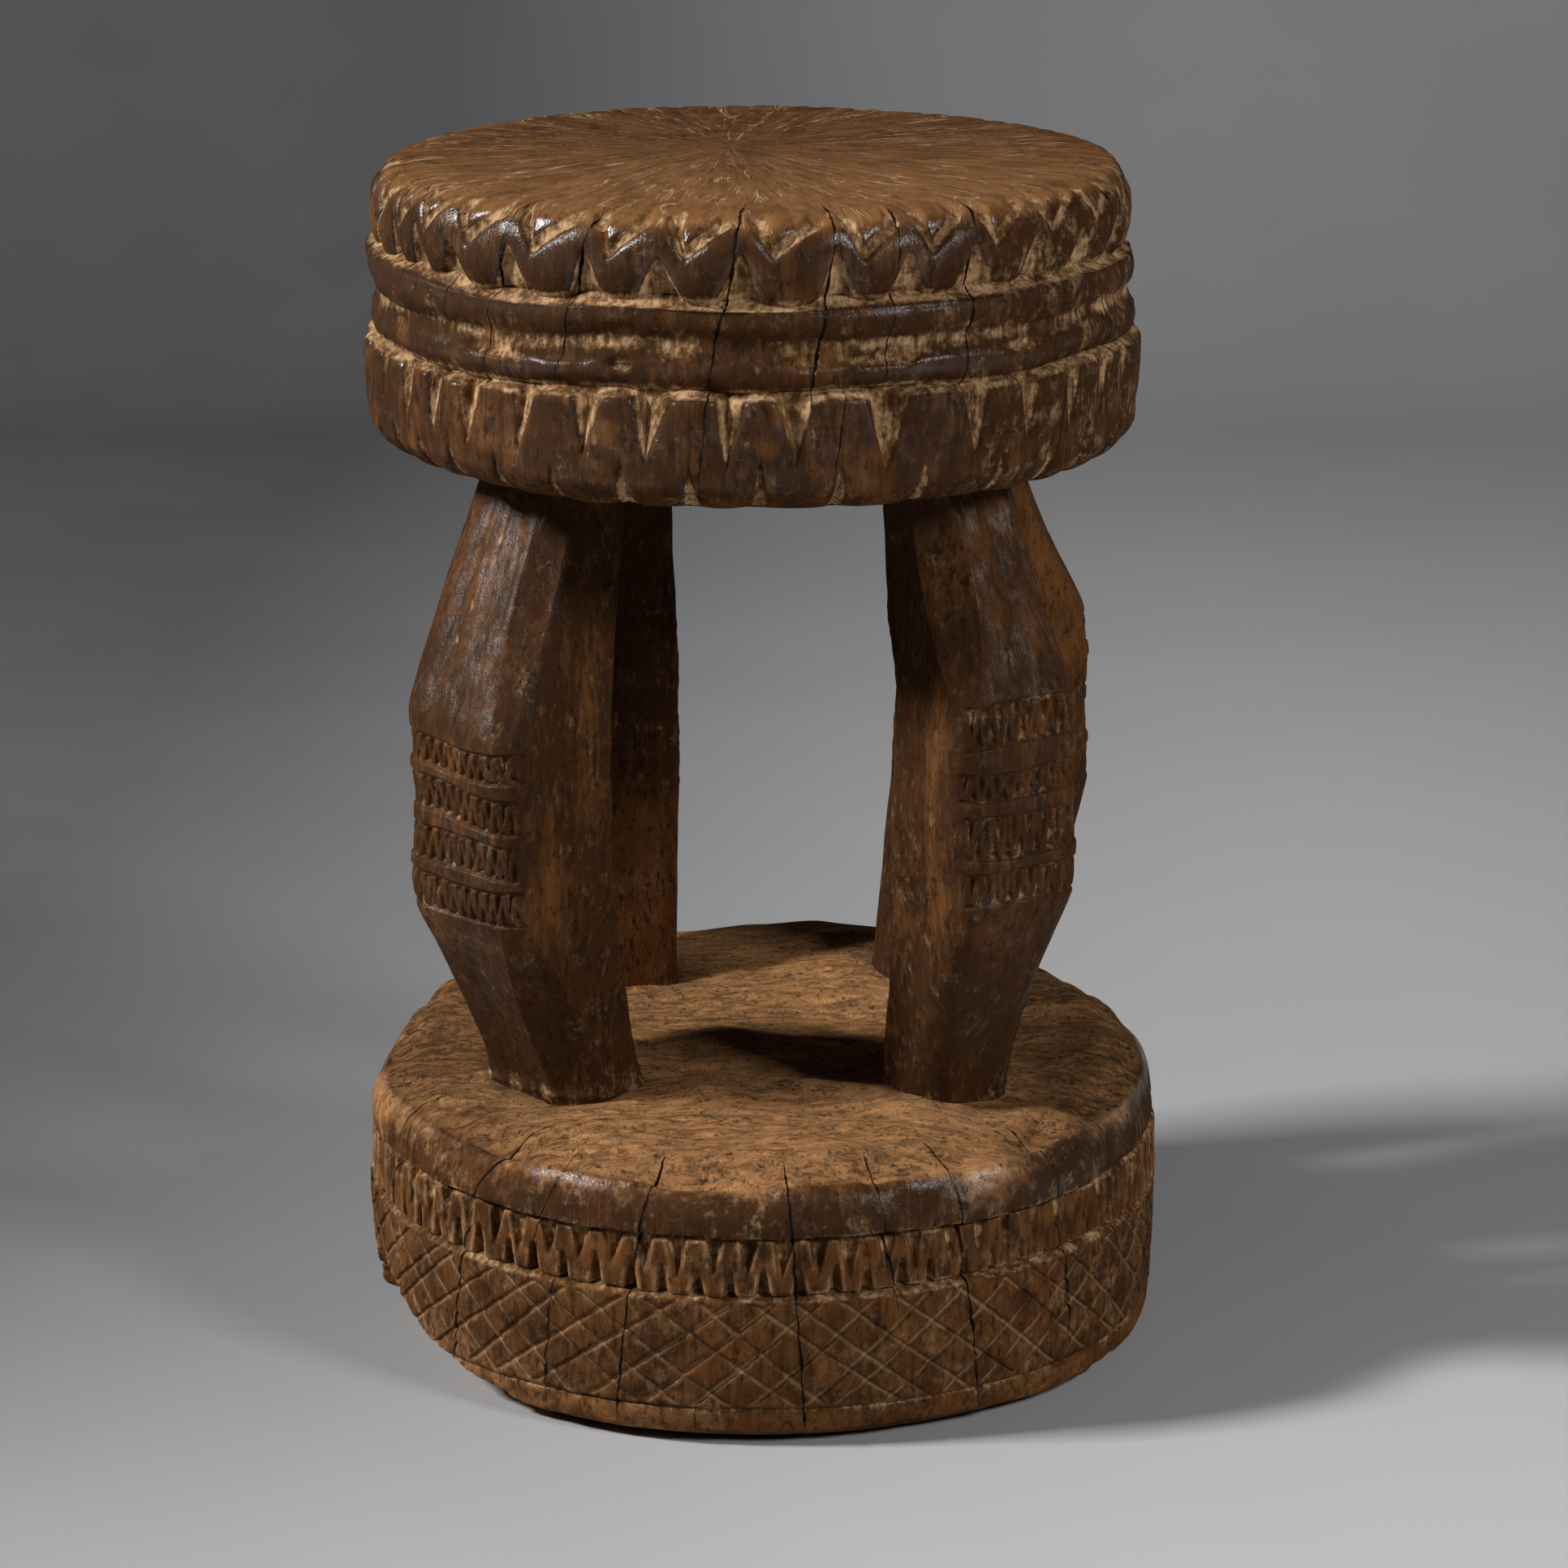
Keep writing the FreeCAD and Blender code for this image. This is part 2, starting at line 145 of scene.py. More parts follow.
def drift(shape: tuple[int, int], cells: tuple[float, float], seed: int) -> np.ndarray:
    """Smooth chance relief with a spread of one, which closes on itself both ways: blurred white noise.

    Args:
        shape: rows and columns.
        cells: the size of a hump along the rows' and the columns' direction, in grid steps.
        seed: the chance number's start.

    Returns:
        The relief as an array of that shape.
    """
    made = blur(np.random.default_rng(seed).standard_normal(shape), cells)
    return (made - made.mean()) / made.std()


def drifts(shape: tuple[int, int], seed: int, *cells: tuple[float, float]) -> list[np.ndarray]:
    """Several reliefs of one shape, from one seed after another."""
    return [drift(shape, cell, seed + step) for step, cell in enumerate(cells)]


def strew(x: np.ndarray, y: np.ndarray, cell: float, seed: int) -> np.ndarray:
    """Smooth chance relief over a flat face: a square of drift, read at each place by straight blends.

    Args:
        x: places to the right.
        y: places to the back.
        cell: the size of a hump.
        seed: the chance number's start.

    Returns:
        The relief at those places, with a spread of about one.
    """
    count, hump = 256, 3.0
    square = drift((count, count), (hump, hump), seed)
    u, v = (x / cell * hump) % count, (y / cell * hump) % count
    i, j = np.floor(u).astype(int) % count, np.floor(v).astype(int) % count
    p, q = u - np.floor(u), v - np.floor(v)
    k, m = (i + 1) % count, (j + 1) % count
    near = square[i, j] * (1.0 - p) + square[k, j] * p
    return near * (1.0 - q) + (square[i, m] * (1.0 - p) + square[k, m] * p) * q


def soften(relief: np.ndarray, cells: tuple[float, float]) -> np.ndarray:
    """Blurs a relief whose rows are mirrored at their ends and whose columns close on themselves."""
    doubled = np.concatenate([relief, relief[::-1]])
    return blur(doubled, cells)[: len(relief)]


def bow(start: tuple[float, float], end: tuple[float, float], swell: float, step: float) -> np.ndarray:
    """Points on a bowed line: the chord plus 4 t (1-t) times the swell, to the right of the way.

    Args:
        start: the first point, kept.
        end: the last point, left out for the next line to start with.
        swell: how far the middle stands out from the chord.
        step: about how far apart the points are.

    Returns:
        The points, one row each.
    """
    first, last = np.array(start), np.array(end)
    length = float(np.hypot(*(last - first)))
    count = max(1, round(length / step))
    share = np.arange(count)[:, None] / count
    side = np.array([last[1] - first[1], first[0] - last[0]]) / length
    return first + (last - first) * share + side * 4.0 * swell * share * (1.0 - share)


def profile(start: tuple[float, float], runs: Runs) -> np.ndarray:
    """A half section of bowed lines, each of which starts where the last one ended.

    Args:
        start: the radius and height of the first point.
        runs: for each line the radius and height of its end, its swell and its step.

    Returns:
        The points, one row each, without the last end.
    """
    parts = []
    for radius, height, swell, step in runs:
        parts.append(bow(start, (radius, height), swell, step))
        start = (radius, height)
    return np.concatenate(parts)


def fill_round(seen: tuple[float, ...], behind: int) -> list[float]:
    """Angles in sight, followed by evenly spaced ones round the back."""
    return [*seen, *np.linspace(seen[-1], seen[0] + 360.0, behind + 2)[1:-1]]


@dataclass(frozen=True)
class Chip:
    """A notch left by the chisel on an unrolled wall: straight sides that slope down to a flat floor.

    The corners are (across, height) pairs, anticlockwise, with across measured from the chip's own middle;
    falls gives how steeply each side goes down, starting with the side from the first corner to the second.
    """

    corners: Path
    falls: tuple[float, ...]
    depth: float

    def sink(self, across: np.ndarray, height: np.ndarray) -> np.ndarray:
        """Depth of the chip: the least of its floor and each side's fall times the distance inside that side.

        Args:
            across: distance from the chip's middle along the wall.
            height: height on the wall.

        Returns:
            The depth, 0 outside the chip.
        """
        depth = np.full(np.broadcast(across, height).shape, self.depth)
        following = self.corners[1:] + self.corners[:1]
        for (x0, z0), (x1, z1), fall in zip(self.corners, following, self.falls):
            inside = ((x1 - x0) * (height - z0) - (z1 - z0) * (across - x0)) / math.hypot(x1 - x0, z1 - z0)
            depth = np.minimum(depth, fall * inside)
        return np.maximum(depth, 0.0)


@dataclass(frozen=True)
class Crack:
    """A drying crack down a wall: (angle, run) pairs from its upper end down, and half its opening."""

    path: Path
    width: float


def nearest(angles: np.ndarray, places: np.ndarray, radius: np.ndarray) -> tuple[np.ndarray, np.ndarray]:
    """Signed distance from each grid point to the nearest of several lines that run down a round wall.

    The gap is the turn times the radius. Its sign flips from one line to the next, so that it passes through
    nothing only on a line and not half way between two.

    Args:
        angles: the columns' angles.
        places: each line's angle at each row, rows by an even number of lines in order round the wall.
        radius: each row's radius.

    Returns:
        The signed distance, and the number of the nearest line.
    """
    best = np.full((places.shape[0], len(angles)), 1e6)
    index = np.zeros(best.shape, dtype=int)
    for number in range(places.shape[1]):
        gap = turn_gap(angles[None, :], places[:, number : number + 1])
        closer = np.abs(gap) < np.abs(best)
        best = np.where(closer, gap, best)
        index = np.where(closer, number, index)
    return np.radians(best) * radius[:, None] * np.where(index % 2, -1.0, 1.0), index


def lay_shell(name: str, points: np.ndarray, fields: Fields) -> bpy.types.Object:
    """Lays a closed shell over a grid whose columns go anticlockwise round and whose rows go up.

    Each grid square is one face, and a fan closes each end to the middle of its ring.

    Args:
        name: the piece's name.
        points: rows by columns by three, in millimetres.
        fields: numbers carried by the grid points, by name.

    Returns:
        The new object, at the origin.
    """
    rows, columns = points.shape[:2]
    ends = np.stack([points[0].mean(axis=0), points[-1].mean(axis=0)])
    places = np.concatenate([points.reshape(-1, 3), ends]) * MM
    here = np.arange(columns)
    after = (here + 1) % columns
    base = (np.arange(rows - 1) * columns)[:, None]
    squares = np.stack([base + here, base + after, base + columns + after, base + columns + here], axis=-1)
    top = (rows - 1) * columns
    low_fan = np.stack([after, here, np.full(columns, rows * columns)], axis=-1)
    high_fan = np.stack([top + here, top + after, np.full(columns, rows * columns + 1)], axis=-1)
    corners = np.concatenate([squares.ravel(), low_fan.ravel(), high_fan.ravel()])
    starts = np.concatenate([np.arange(squares.size // 4) * 4, squares.size + np.arange(2 * columns) * 3])
    mesh = bpy.data.meshes.new(name)
    mesh.vertices.add(len(places))
    mesh.vertices.foreach_set("co", places.astype(np.float32).ravel())
    mesh.loops.add(len(corners))
    mesh.loops.foreach_set("vertex_index", corners.astype(np.int32))
    mesh.polygons.add(len(starts))
    mesh.polygons.foreach_set("loop_start", starts.astype(np.int32))
    mesh.polygons.foreach_set("use_smooth", np.ones(len(starts), dtype=bool))
    mesh.update(calc_edges=True)
    mesh.validate()
    for label, values in fields.items():
        whole = np.broadcast_to(values, (rows, columns))
        full = np.concatenate([whole.ravel(), [whole[0].mean(), whole[-1].mean()]])
        mesh.attributes.new(label, "FLOAT", "POINT").data.foreach_set("value", full.astype(np.float32))
    piece = bpy.data.objects.new(name, mesh)
    bpy.context.scene.collection.objects.link(piece)
    return piece


def settle(piece: bpy.types.Object, node: str, material: bpy.types.Material) -> bpy.types.Object:
    """Gives a piece its finish, lets it ride on the stool, and puts it in its plain member's place.

    Args:
        piece: the finished piece.
        node: the plain member that it stands for.
        material: its finish.

    Returns:
        The same piece.
    """
    piece.data.materials.append(material)
    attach(piece, ROOT)
    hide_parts(node)
    log.info("%s: %d faces", piece.name, len(piece.data.polygons))
    return piece


@dataclass(frozen=True)
class Value:
    """What a finish works out at each place, on which plain sums can be written."""

    bench: "Bench"
    socket: bpy.types.NodeSocket

    def __add__(self, other: "Value | float") -> "Value":
        """This and another together."""
        return self.bench.sum(Op.ADD, self, other)

    def __sub__(self, other: "Value | float") -> "Value":
        """This less another."""
        return self.bench.sum(Op.TAKE, self, other)

    def __mul__(self, other: "Value | float") -> "Value":
        """This times another."""
        return self.bench.sum(Op.TIMES, self, other)

    def most(self, other: "Value | float") -> "Value":
        """The greater of this and another."""
        return self.bench.sum(Op.MOST, self, other)

    def size(self) -> "Value":
        """This without its sign."""
        return self.bench.sum(Op.SIZE, self)

    def swing(self, size: float) -> "Value":
        """Chance values about one half, turned into a swing about nothing of that size."""
        return (self - 0.5) * size

    def rise(
        self, low: "Value | float", high: "Value | float", bottom: float = 0.0, top: float = 1.0
    ) -> "Value":
        """Goes smoothly from bottom where this is low to top where it is high.

        Args:
            low: where the way starts.
            high: where it ends.
            bottom: what comes out at and before the start.
            top: what comes out at and after the end.

        Returns:
            The number on the way.
        """
        ends = {"From Min": low, "From Max": high, "To Min": bottom, "To Max": top}
        settings = {"interpolation_type": "SMOOTHSTEP"}
        return self.bench.node("ShaderNodeMapRange", "Result", {"Value": self, **ends}, settings)


class Bench:
    """Lays out the nodes of one finish."""

    def __init__(self, name: str) -> None:
        """Starts a finish with a bare shader.

        Args:
            name: what the finish is called.
        """
        self.material = bpy.data.materials.new(name)
        self.material.use_nodes = True
        self.tree = self.material.node_tree
        self.tree.nodes.clear()
        out = self.tree.nodes.new("ShaderNodeOutputMaterial")
        self.shader = self.tree.nodes.new("ShaderNodeBsdfPrincipled")
        self.tree.links.new(self.shader.outputs["BSDF"], out.inputs["Surface"])
        self.where = self.node("ShaderNodeTexCoord", "Object", {})

    def put(self, socket: bpy.types.NodeSocket, value: object) -> None:
        """Links a socket to what was worked out, or sets it.

        Args:
            socket: the socket of a node.
            value: what goes into it.
        """
        if isinstance(value, Value):
            self.tree.links.new(value.socket, socket)
        else:
            socket.default_value = value

    def node(self, kind: str, out: str | int, inputs: dict, settings: dict | None = None) -> Value:
        """Adds one node.

        Args:
            kind: the name of its type.
            out: which of its outputs is read.
            inputs: what goes into its sockets, by their names or numbers.
            settings: its own choices, by their names.

        Returns:
            The output.
        """
        node = self.tree.nodes.new(kind)
        for name, choice in (settings or {}).items():
            setattr(node, name, choice)
        for name, value in inputs.items():
            self.put(node.inputs[name], value)
        return Value(self, node.outputs[out])

    def field(self, name: str) -> Value:
        """The numbers that the piece carries under a name."""
        return self.node("ShaderNodeAttribute", "Fac", {}, {"attribute_name": name})

    def stretch(self, scale: Triple, shift: Triple = (0.0, 0.0, 0.0)) -> Value:
        """The piece's own places in metres, scaled along each axis and then shifted."""
        inputs = {"Vector": self.where, "Scale": scale, "Location": shift}
        return self.node("ShaderNodeMapping", "Vector", inputs)

    def noise(
        self, where: Value, scale: float, detail: float = 4.0, rough: float = 0.55, twist: float = 0.0
    ) -> Value:
        """Cloudy chance values about one half, with humps about 1/scale of a metre across.

        Args:
            where: the places to read.
            scale: humps to a metre.
            detail: how many finer layers are added.
            rough: how strong each finer layer is.
            twist: how far the humps are drawn out of shape.

        Returns:
            The values.
        """
        inputs = {"Vector": where, "Scale": scale, "Detail": detail, "Roughness": rough, "Distortion": twist}
        return self.node("ShaderNodeTexNoise", "Fac", inputs)

    def sum(self, op: Op, first: Value, second: Value | float = 0.0) -> Value:
        """One sum of two numbers."""
        return self.node("ShaderNodeMath", 0, {0: first, 1: second}, {"operation": op.value})

    def blend(self, share: Value, first: Value | Colour, second: Value | Colour) -> Value:
        """Goes from the first colour to the second by a share."""
        return self.node("ShaderNodeMix", 2, {0: share, 6: first, 7: second}, {"data_type": "RGBA"})

    def arrow(self, kind: Arrow, first: Value, second: Value | Triple | float = (0.0, 0.0, 0.0)) -> Value:
        """One sum on places.

        Args:
            kind: which sum.
            first: the places.
            second: other places or a factor, where the sum needs one.

        Returns:
            The new places, or their distances from the middle.
        """
        inputs = {0: first, "Scale" if kind is Arrow.TIMES else 1: second}
        out = "Value" if kind is Arrow.LENGTH else "Vector"
        return self.node("ShaderNodeVectorMath", out, inputs, {"operation": kind.value})

    def finish(self, colour: Value, roughness: Value, height: Value, shine: float) -> bpy.types.Material:
        """Joins colour, roughness and relief in millimetres to the shader.

        Args:
            colour: the surface colour.
            roughness: from 0, a mirror, to 1, dusty.
            height: fine relief in millimetres.
            shine: the wax's reflection at a square look.

        Returns:
            The finished material.
        """
        normal = self.node("ShaderNodeBump", "Normal", {"Distance": MM, "Strength": 1.0, "Height": height})
        looks = {"Base Color": colour, "Roughness": roughness, "Specular IOR Level": shine}
        for name, value in {**looks, "Normal": normal, "Coat Normal": normal}.items():
            self.put(self.shader.inputs[name], value)
        return self.material

    def wax(self, share: Value, roughness: float) -> None:
        """Lays a clear coat over the finish, by its share at each place."""
        self.put(self.shader.inputs["Coat Weight"], share)
        self.put(self.shader.inputs["Coat Roughness"], roughness)


@dataclass(frozen=True)
class OldWood:
    """Old dark wood: waxed where hands rub it, warm where the wax is thin, pale earth in the hollows."""

    name: str
    dark: Colour = (0.0470, 0.0185, 0.0056, 1.0)
    warm: Colour = (0.1500, 0.0590, 0.0165, 1.0)
    pale: Colour = (0.3700, 0.1750, 0.0660, 1.0)
    earth: Colour = (0.1700, 0.0840, 0.0320, 1.0)
    dust: Colour = (0.5900, 0.3700, 0.1900, 1.0)
    soot: Colour = (0.0180, 0.0080, 0.0030, 1.0)
    void: Colour = (0.0060, 0.0028, 0.0012, 1.0)
    dry: float = 0.86
    worn: float = 0.52
    shine: float = 0.10
    waxed: float = 0.22
    grit: float = 0.16

    def ground(self, bench: Bench) -> tuple[Value, Value, Value]:
        """The wood under the dust: cloudy dark and warm browns, with upright fibres and small dark pores.

        Args:
            bench: the finish that is being laid out.

        Returns:
            Its colour, its fibres and its fine relief in millimetres.
        """
        cloud = bench.noise(bench.stretch((1.0, 1.0, 0.5)), 60.0, 6.0, 0.66, 0.5)
        fibre = bench.noise(bench.stretch((1.0, 1.0, 0.07)), 560.0, 4.0, 0.62)
        grit = bench.noise(bench.where, 1150.0, 3.0, 0.6)
        pores = bench.noise(bench.stretch((1.0, 1.0, 0.4)), 420.0, 3.0, 0.6)
        tint = cloud + fibre.swing(0.55) + bench.field("warm") * 0.34 - bench.field("stain") * 0.20
        colour = bench.blend(tint.rise(0.35, 0.79), self.dark, self.warm)
        colour = bench.blend(pores.rise(0.52, 0.74, 0.0, 0.55), colour, self.dark)
        relief = grit * self.grit + fibre * 0.12 - pores.rise(0.52, 0.74, 0.0, 0.12)
        return colour, fibre, relief

    def mark(self, bench: Bench, colour: Value, height: Value) -> tuple[Value, Value]:
        """Adds the marks that only one member has; a plain member has none."""
        return colour, height

    def make(self) -> bpy.types.Material:
        """Lays out the whole finish: wood, bare patches, the member's own marks, dust, cracks and wax.

        Returns:
            The material.
        """
        bench = Bench(self.name)
        colour, fibre, height = self.ground(bench)
        fleck = bench.noise(bench.where, 330.0, 5.0, 0.70)
        soft = bench.noise(bench.where, 95.0, 5.0, 0.66)
        bare = bench.field("pale") + soft.swing(1.1) + fleck.swing(0.5)
        colour = bench.blend(bare.rise(0.15, 1.0), colour, self.pale)
        speck = bench.noise(bench.stretch((1.0, 1.0, 0.42)), 430.0, 5.0, 0.72)
        dull = bench.field("gloss").rise(0.2, 0.8, 0.6, 0.15)
        ochre = (speck + soft.swing(0.5)).rise(0.53, 0.72) * dull
        colour = bench.blend(ochre, colour, self.earth)
        sooty = soft.swing(0.4) - speck.swing(1.0)
        colour = bench.blend(sooty.rise(0.01, 0.16, 0.0, 0.8), colour, self.soot)
        colour, height = self.mark(bench, colour, height)
        lying = bench.field("dust") + fleck.swing(1.5) + fibre.swing(0.7) + soft.swing(1.3)
        dusty = lying.rise(0.16, 1.12)
        pile = (soft + fleck.swing(0.9) + fibre.swing(0.9)).rise(0.28, 0.76)
        colour = bench.blend(dusty * 0.9, colour, bench.blend(pile, self.earth, self.dust))
        height = height + dusty * fleck * 0.6
        stray = fleck.swing(0.9) + soft.swing(2.4)
        gap = (bench.field("crack") + stray).size()
        ragged = bench.noise(bench.where, 140.0, 3.0).rise(0.34, 0.66, 0.35, 1.15)
        reach = bench.field("crack_wide") * ragged
        split = gap.rise(reach * 0.45, reach, 1.0, 0.0) * reach.rise(0.02, 0.12)
        colour = bench.blend(split, colour, self.void)
        height = height - split * 1.3
        rubbed = bench.field("gloss") + soft.swing(0.9)
        rough = rubbed.rise(0.1, 0.95, self.dry, self.worn).most(dusty * 0.95)
        material = bench.finish(colour, rough, height, self.shine)
        bench.wax(rubbed.rise(0.35, 1.05) * dusty.rise(0.0, 0.6, 1.0, 0.0), self.waxed)
        return material


@dataclass(frozen=True)
class SeatWood(OldWood):
    """The seat's wood: fine checks run out from the heart of the log over its top."""

    heart: tuple[float, float] = (-11.0, 18.0)

    def mark(self, bench: Bench, colour: Value, height: Value) -> tuple[Value, Value]:
        """Adds the checks: lines of equal value in chance values that are drawn out along the radius.

        Args:
            bench: the finish that is being laid out.
            colour: the colour so far.
            height: the relief so far.

        Returns:
            The colour and the relief with the checks.
        """
        flat = bench.stretch((1.0, 1.0, 0.0), (-self.heart[0] * MM, -self.heart[1] * MM, 0.0))
        unit = bench.arrow(Arrow.UNIT, flat)
        length = bench.arrow(Arrow.LENGTH, flat)

        def rayed(turns: float, reach: float, detail: float) -> Value:
            """Chance values drawn out along the radius.

            Args:
                turns: how many humps there are round the heart, about.
                reach: how many there are to a metre along the radius.
                detail: how many finer layers are added.

            Returns:
                The values.
            """
            out = bench.node("ShaderNodeCombineXYZ", "Vector", {"Z": length * reach})
            place = bench.arrow(Arrow.ADD, bench.arrow(Arrow.TIMES, unit, turns), out)
            return bench.noise(place, 1.0, detail, 0.6, 0.1)

        disc = bench.field("disc")
        streak = rayed(21.0, 16.0, 5.0).rise(0.40, 0.66)
        colour = bench.blend(streak * disc * 0.4, colour, self.dark)
        cloud = bench.noise(bench.stretch((1.0, 1.0, 0.0)), 45.0, 5.0, 0.6)
        grain = bench.field("warm") + rayed(30.0, 60.0, 5.0).swing(1.6) + cloud.swing(0.9)
        colour = bench.blend(grain.rise(0.1, 1.2, 0.0, 0.6) * disc, colour, self.pale)
        broken = rayed(11.0, 36.0, 4.0).rise(0.49, 0.58)
        lines = None
        for turns, reach, wide in ((9.0, 15.0, 0.011), (19.0, 22.0, 0.017), (34.0, 30.0, 0.024)):
            line = (rayed(turns, reach, 1.0) - 0.5).size().rise(0.0, wide, 1.0, 0.0)
            lines = line if lines is None else lines.most(line)
        lines = lines * broken * disc
        return bench.blend(lines * 0.65, colour, self.dust), height - lines * 0.3


@dataclass(frozen=True)
class BaseWood(OldWood):
    """The base's wood: crossing lines are scored over its lower field, and its top is rough from the adze."""

    pale: Colour = (0.5600, 0.2700, 0.1060, 1.0)
    line: float = 0.7

    def mark(self, bench: Bench, colour: Value, height: Value) -> tuple[Value, Value]:
        """Adds the scored lines, pale where the distance to a line is small, and the top's short rough dents,
        with painted shade in them.

        Args:
            bench: the finish that is being laid out.
            colour: the colour so far.
            height: the relief so far.

        Returns:
            The colour and the relief with the marks.
        """
        waver = bench.noise(bench.where, 210.0, 3.0).swing(1.3)
        faint = bench.noise(bench.where, 75.0, 4.0, 0.65).rise(0.36, 0.60)
        for name in ("score_down", "score_up"):
            gap = (bench.field(name) + waver).size()
            cut = gap.rise(self.line * 0.3, self.line * 1.8, 1.0, 0.0) * bench.field("scored")
            colour = bench.blend(cut * faint * 0.26, colour, self.dust)
            height = height - cut * 0.7
        disc = bench.field("disc")
        dents = bench.noise(bench.stretch((0.45, 1.0, 1.0)), 240.0, 6.0, 0.78, 0.6)
        # The dents are painted with earth and the torn dashes with dark wood where they sink: partly dirt,
        # partly painted shade.
        shaded_pits = dents.rise(0.52, 0.64) * disc
        colour = bench.blend(shaded_pits * 0.4, colour, self.earth)
        torn = bench.noise(bench.stretch((0.3, 1.0, 1.0)), 130.0, 5.0, 0.75, 0.8).rise(0.60, 0.66) * disc
        colour = bench.blend(torn * 0.55, colour, self.dark)
        return colour, height - (shaded_pits + torn) - dents * disc * 4.0


@dataclass
class Band:
    """One band of a drum as a closed shell: columns go round it, and rows go up its half section."""

    name: str
    columns: int
    # Radius inside which the top is level, or nothing where a band has no top.
    edge: float = 0.0
    # The plain member that it stands for, its finish, and how far it stands to the right.
    node: str = ""
    slot: str = ""
    middle: float = 0.0
    # The half section from the axis below to the axis above: its first point, and its runs for profile.
    first: tuple[float, float] = (0.0, 0.0)
    runs: Runs = ()
    # Where other bands cover it: inside a radius, and between two heights.
    cover: float = 0.0
    cover_from: float = -math.inf
    cover_to: float = math.inf
    # The start of the chance numbers for its worn surface.
    grain: int = 0

    def cracks(self) -> list[Crack]:
        """The drying cracks, an even number in order round the drum."""
        raise NotImplementedError

    def carve(self) -> tuple[np.ndarray, Fields]:
        """Places of the carved grid, and the fields that differ from the blank ones."""
        raise NotImplementedError

    def blank(self) -> Fields:
        """The fields of a band that has no top."""
        return {"disc": 0.0}

    def build(self, material: bpy.types.Material) -> bpy.types.Object:
        """Carves the band and dresses it.

        Args:
            material: its finish.

        Returns:
            The piece.
        """
        self.measure()
        points, fields = self.carve()
        piece = lay_shell(self.name, points, {**self.blank(), **fields, **self.split()})
        return settle(piece, self.node, material)

    def measure(self) -> None:
        """Works out the rows' radius, height, cover, run and outward direction, and the columns' angles.

        The run is the height up the wall, and carries on inwards over the top by the distance from its edge.
        """
        line = profile(self.first, self.runs)
        self.radius, self.height = line[:, 0], line[:, 1]
        within = (self.height > self.cover_from) & (self.height < self.cover_to)
        self.hidden = (within & (self.radius < self.cover))[:, None]
        way = np.gradient(line, axis=0)
        way = way / np.hypot(way[:, 0], way[:, 1])[:, None]
        self.out, self.up = way[:, 1], -way[:, 0]
        self.shape = (len(line), self.columns)
        self.angles = (np.arange(self.columns) + 0.5) * 360.0 / self.columns - 180.0
        self.run = self.height + np.where(self.up > 0.75, np.maximum(self.edge - self.radius, 0.0), 0.0)
        self.wall = ease(-0.3, 0.3, self.out)[:, None]
        self.disc = ease(0.6, 0.95, self.up)[:, None]
        turn = np.radians(self.angles)[None, :]
        self.x = self.radius[:, None] * np.sin(turn)
        self.y = -self.radius[:, None] * np.cos(turn)

    def across(self, angle: float) -> np.ndarray:
        """Distance along the wall from an angle to each column, as one row."""
        return (np.radians(turn_gap(self.angles, angle)) * self.radius.max())[None, :]

    def cut(self, chips: list[tuple[float, Chip]], rounding: float) -> np.ndarray:
        """Depth of many chips together, with their edges rubbed round.

        Args:
            chips: pairs of an angle and a chip about that angle.
            rounding: how far the edges are rubbed, in grid steps.

        Returns:
            The depth at each grid point.
        """
        sunk = np.zeros(self.shape)
        for turn, chip in chips:
            sunk = np.maximum(sunk, chip.sink(self.across(turn), self.height[:, None]))
        return soften(sunk * self.wall, (rounding, rounding))

    def split(self) -> Fields:
        """Lays out the drying cracks, which taper to their ends.

        Returns:
            The distance to the nearest crack, and half its opening there.
        """
        places, widths = [], []
        for crack in self.cracks():
            turn, run = (np.array(values, dtype=float)[::-1] for values in zip(*crack.path))
            places.append(np.interp(self.run, run, turn))
            ends = np.minimum(self.run - run[0], run[-1] - self.run)
            widths.append(crack.width * ease(0.0, 9.0, ends) * (self.out > -0.5))
        gap, index = nearest(self.angles, np.stack(places, axis=1), self.radius)
        return {"crack": gap, "crack_wide": np.take_along_axis(np.stack(widths, axis=1), index, axis=1)}

    def points(self, sunk: Number, grown: np.ndarray, lift: Number) -> np.ndarray:
        """Places of the grid: the section turned round, cut inwards, grown along its normal, and lifted.

        On the top, inside the edge, the cut goes down instead.

        Args:
            sunk: depth of the carving.
            grown: relief along the outward direction.
            lift: upward shift.

        Returns:
            Rows by columns by three.
        """
        level = (ease(0.35, 0.8, self.up) * (self.edge > 0.0))[:, None]
        radius = self.radius[:, None] - sunk * (1.0 - level) + grown * self.out[:, None]
        height = self.height[:, None] - sunk * level + grown * self.up[:, None] + lift
        turn = np.radians(self.angles)[None, :]
        return np.stack([self.middle + radius * np.sin(turn), -radius * np.cos(turn), height], axis=-1)


def cracks_behind(
    seed: int, turns: np.ndarray, leans: tuple[float, float], ends: Path, widest: float
) -> list[Crack]:
    """Straight cracks round the back, at about even distances and of chance lengths.

    Args:
        seed: the chance number's start.
        turns: about where each one stands.
        leans: how far its upper and its lower end stand aside.
        ends: the runs between which its upper and its lower end lie.
        widest: half of the widest opening.

    Returns:
        The cracks in order.
    """
    chance = np.random.default_rng(seed)
    cracks = []
    for start in turns:
        turn = start + chance.uniform(-4.0, 4.0)
        path = tuple((turn + lean, chance.uniform(*end)) for lean, end in zip(leans, ends))
        cracks.append(Crack(path, chance.uniform(0.3, widest)))
    return cracks


def pillow(sunk: np.ndarray, crown: float) -> np.ndarray:
    """Rounds what the cuts leave standing: a blurred mask of it, taken about three quarters, times the crown.

    Args:
        sunk: depth of the carving.
        crown: how strongly the standing wood is rounded.

    Returns:
        The swelling, below nothing along the cuts' edges.
    """
    stands = 1.0 - ease(0.2, 1.4, sunk)
    return crown * (soften(stands, (5.0, 7.0)) - 0.75) * stands


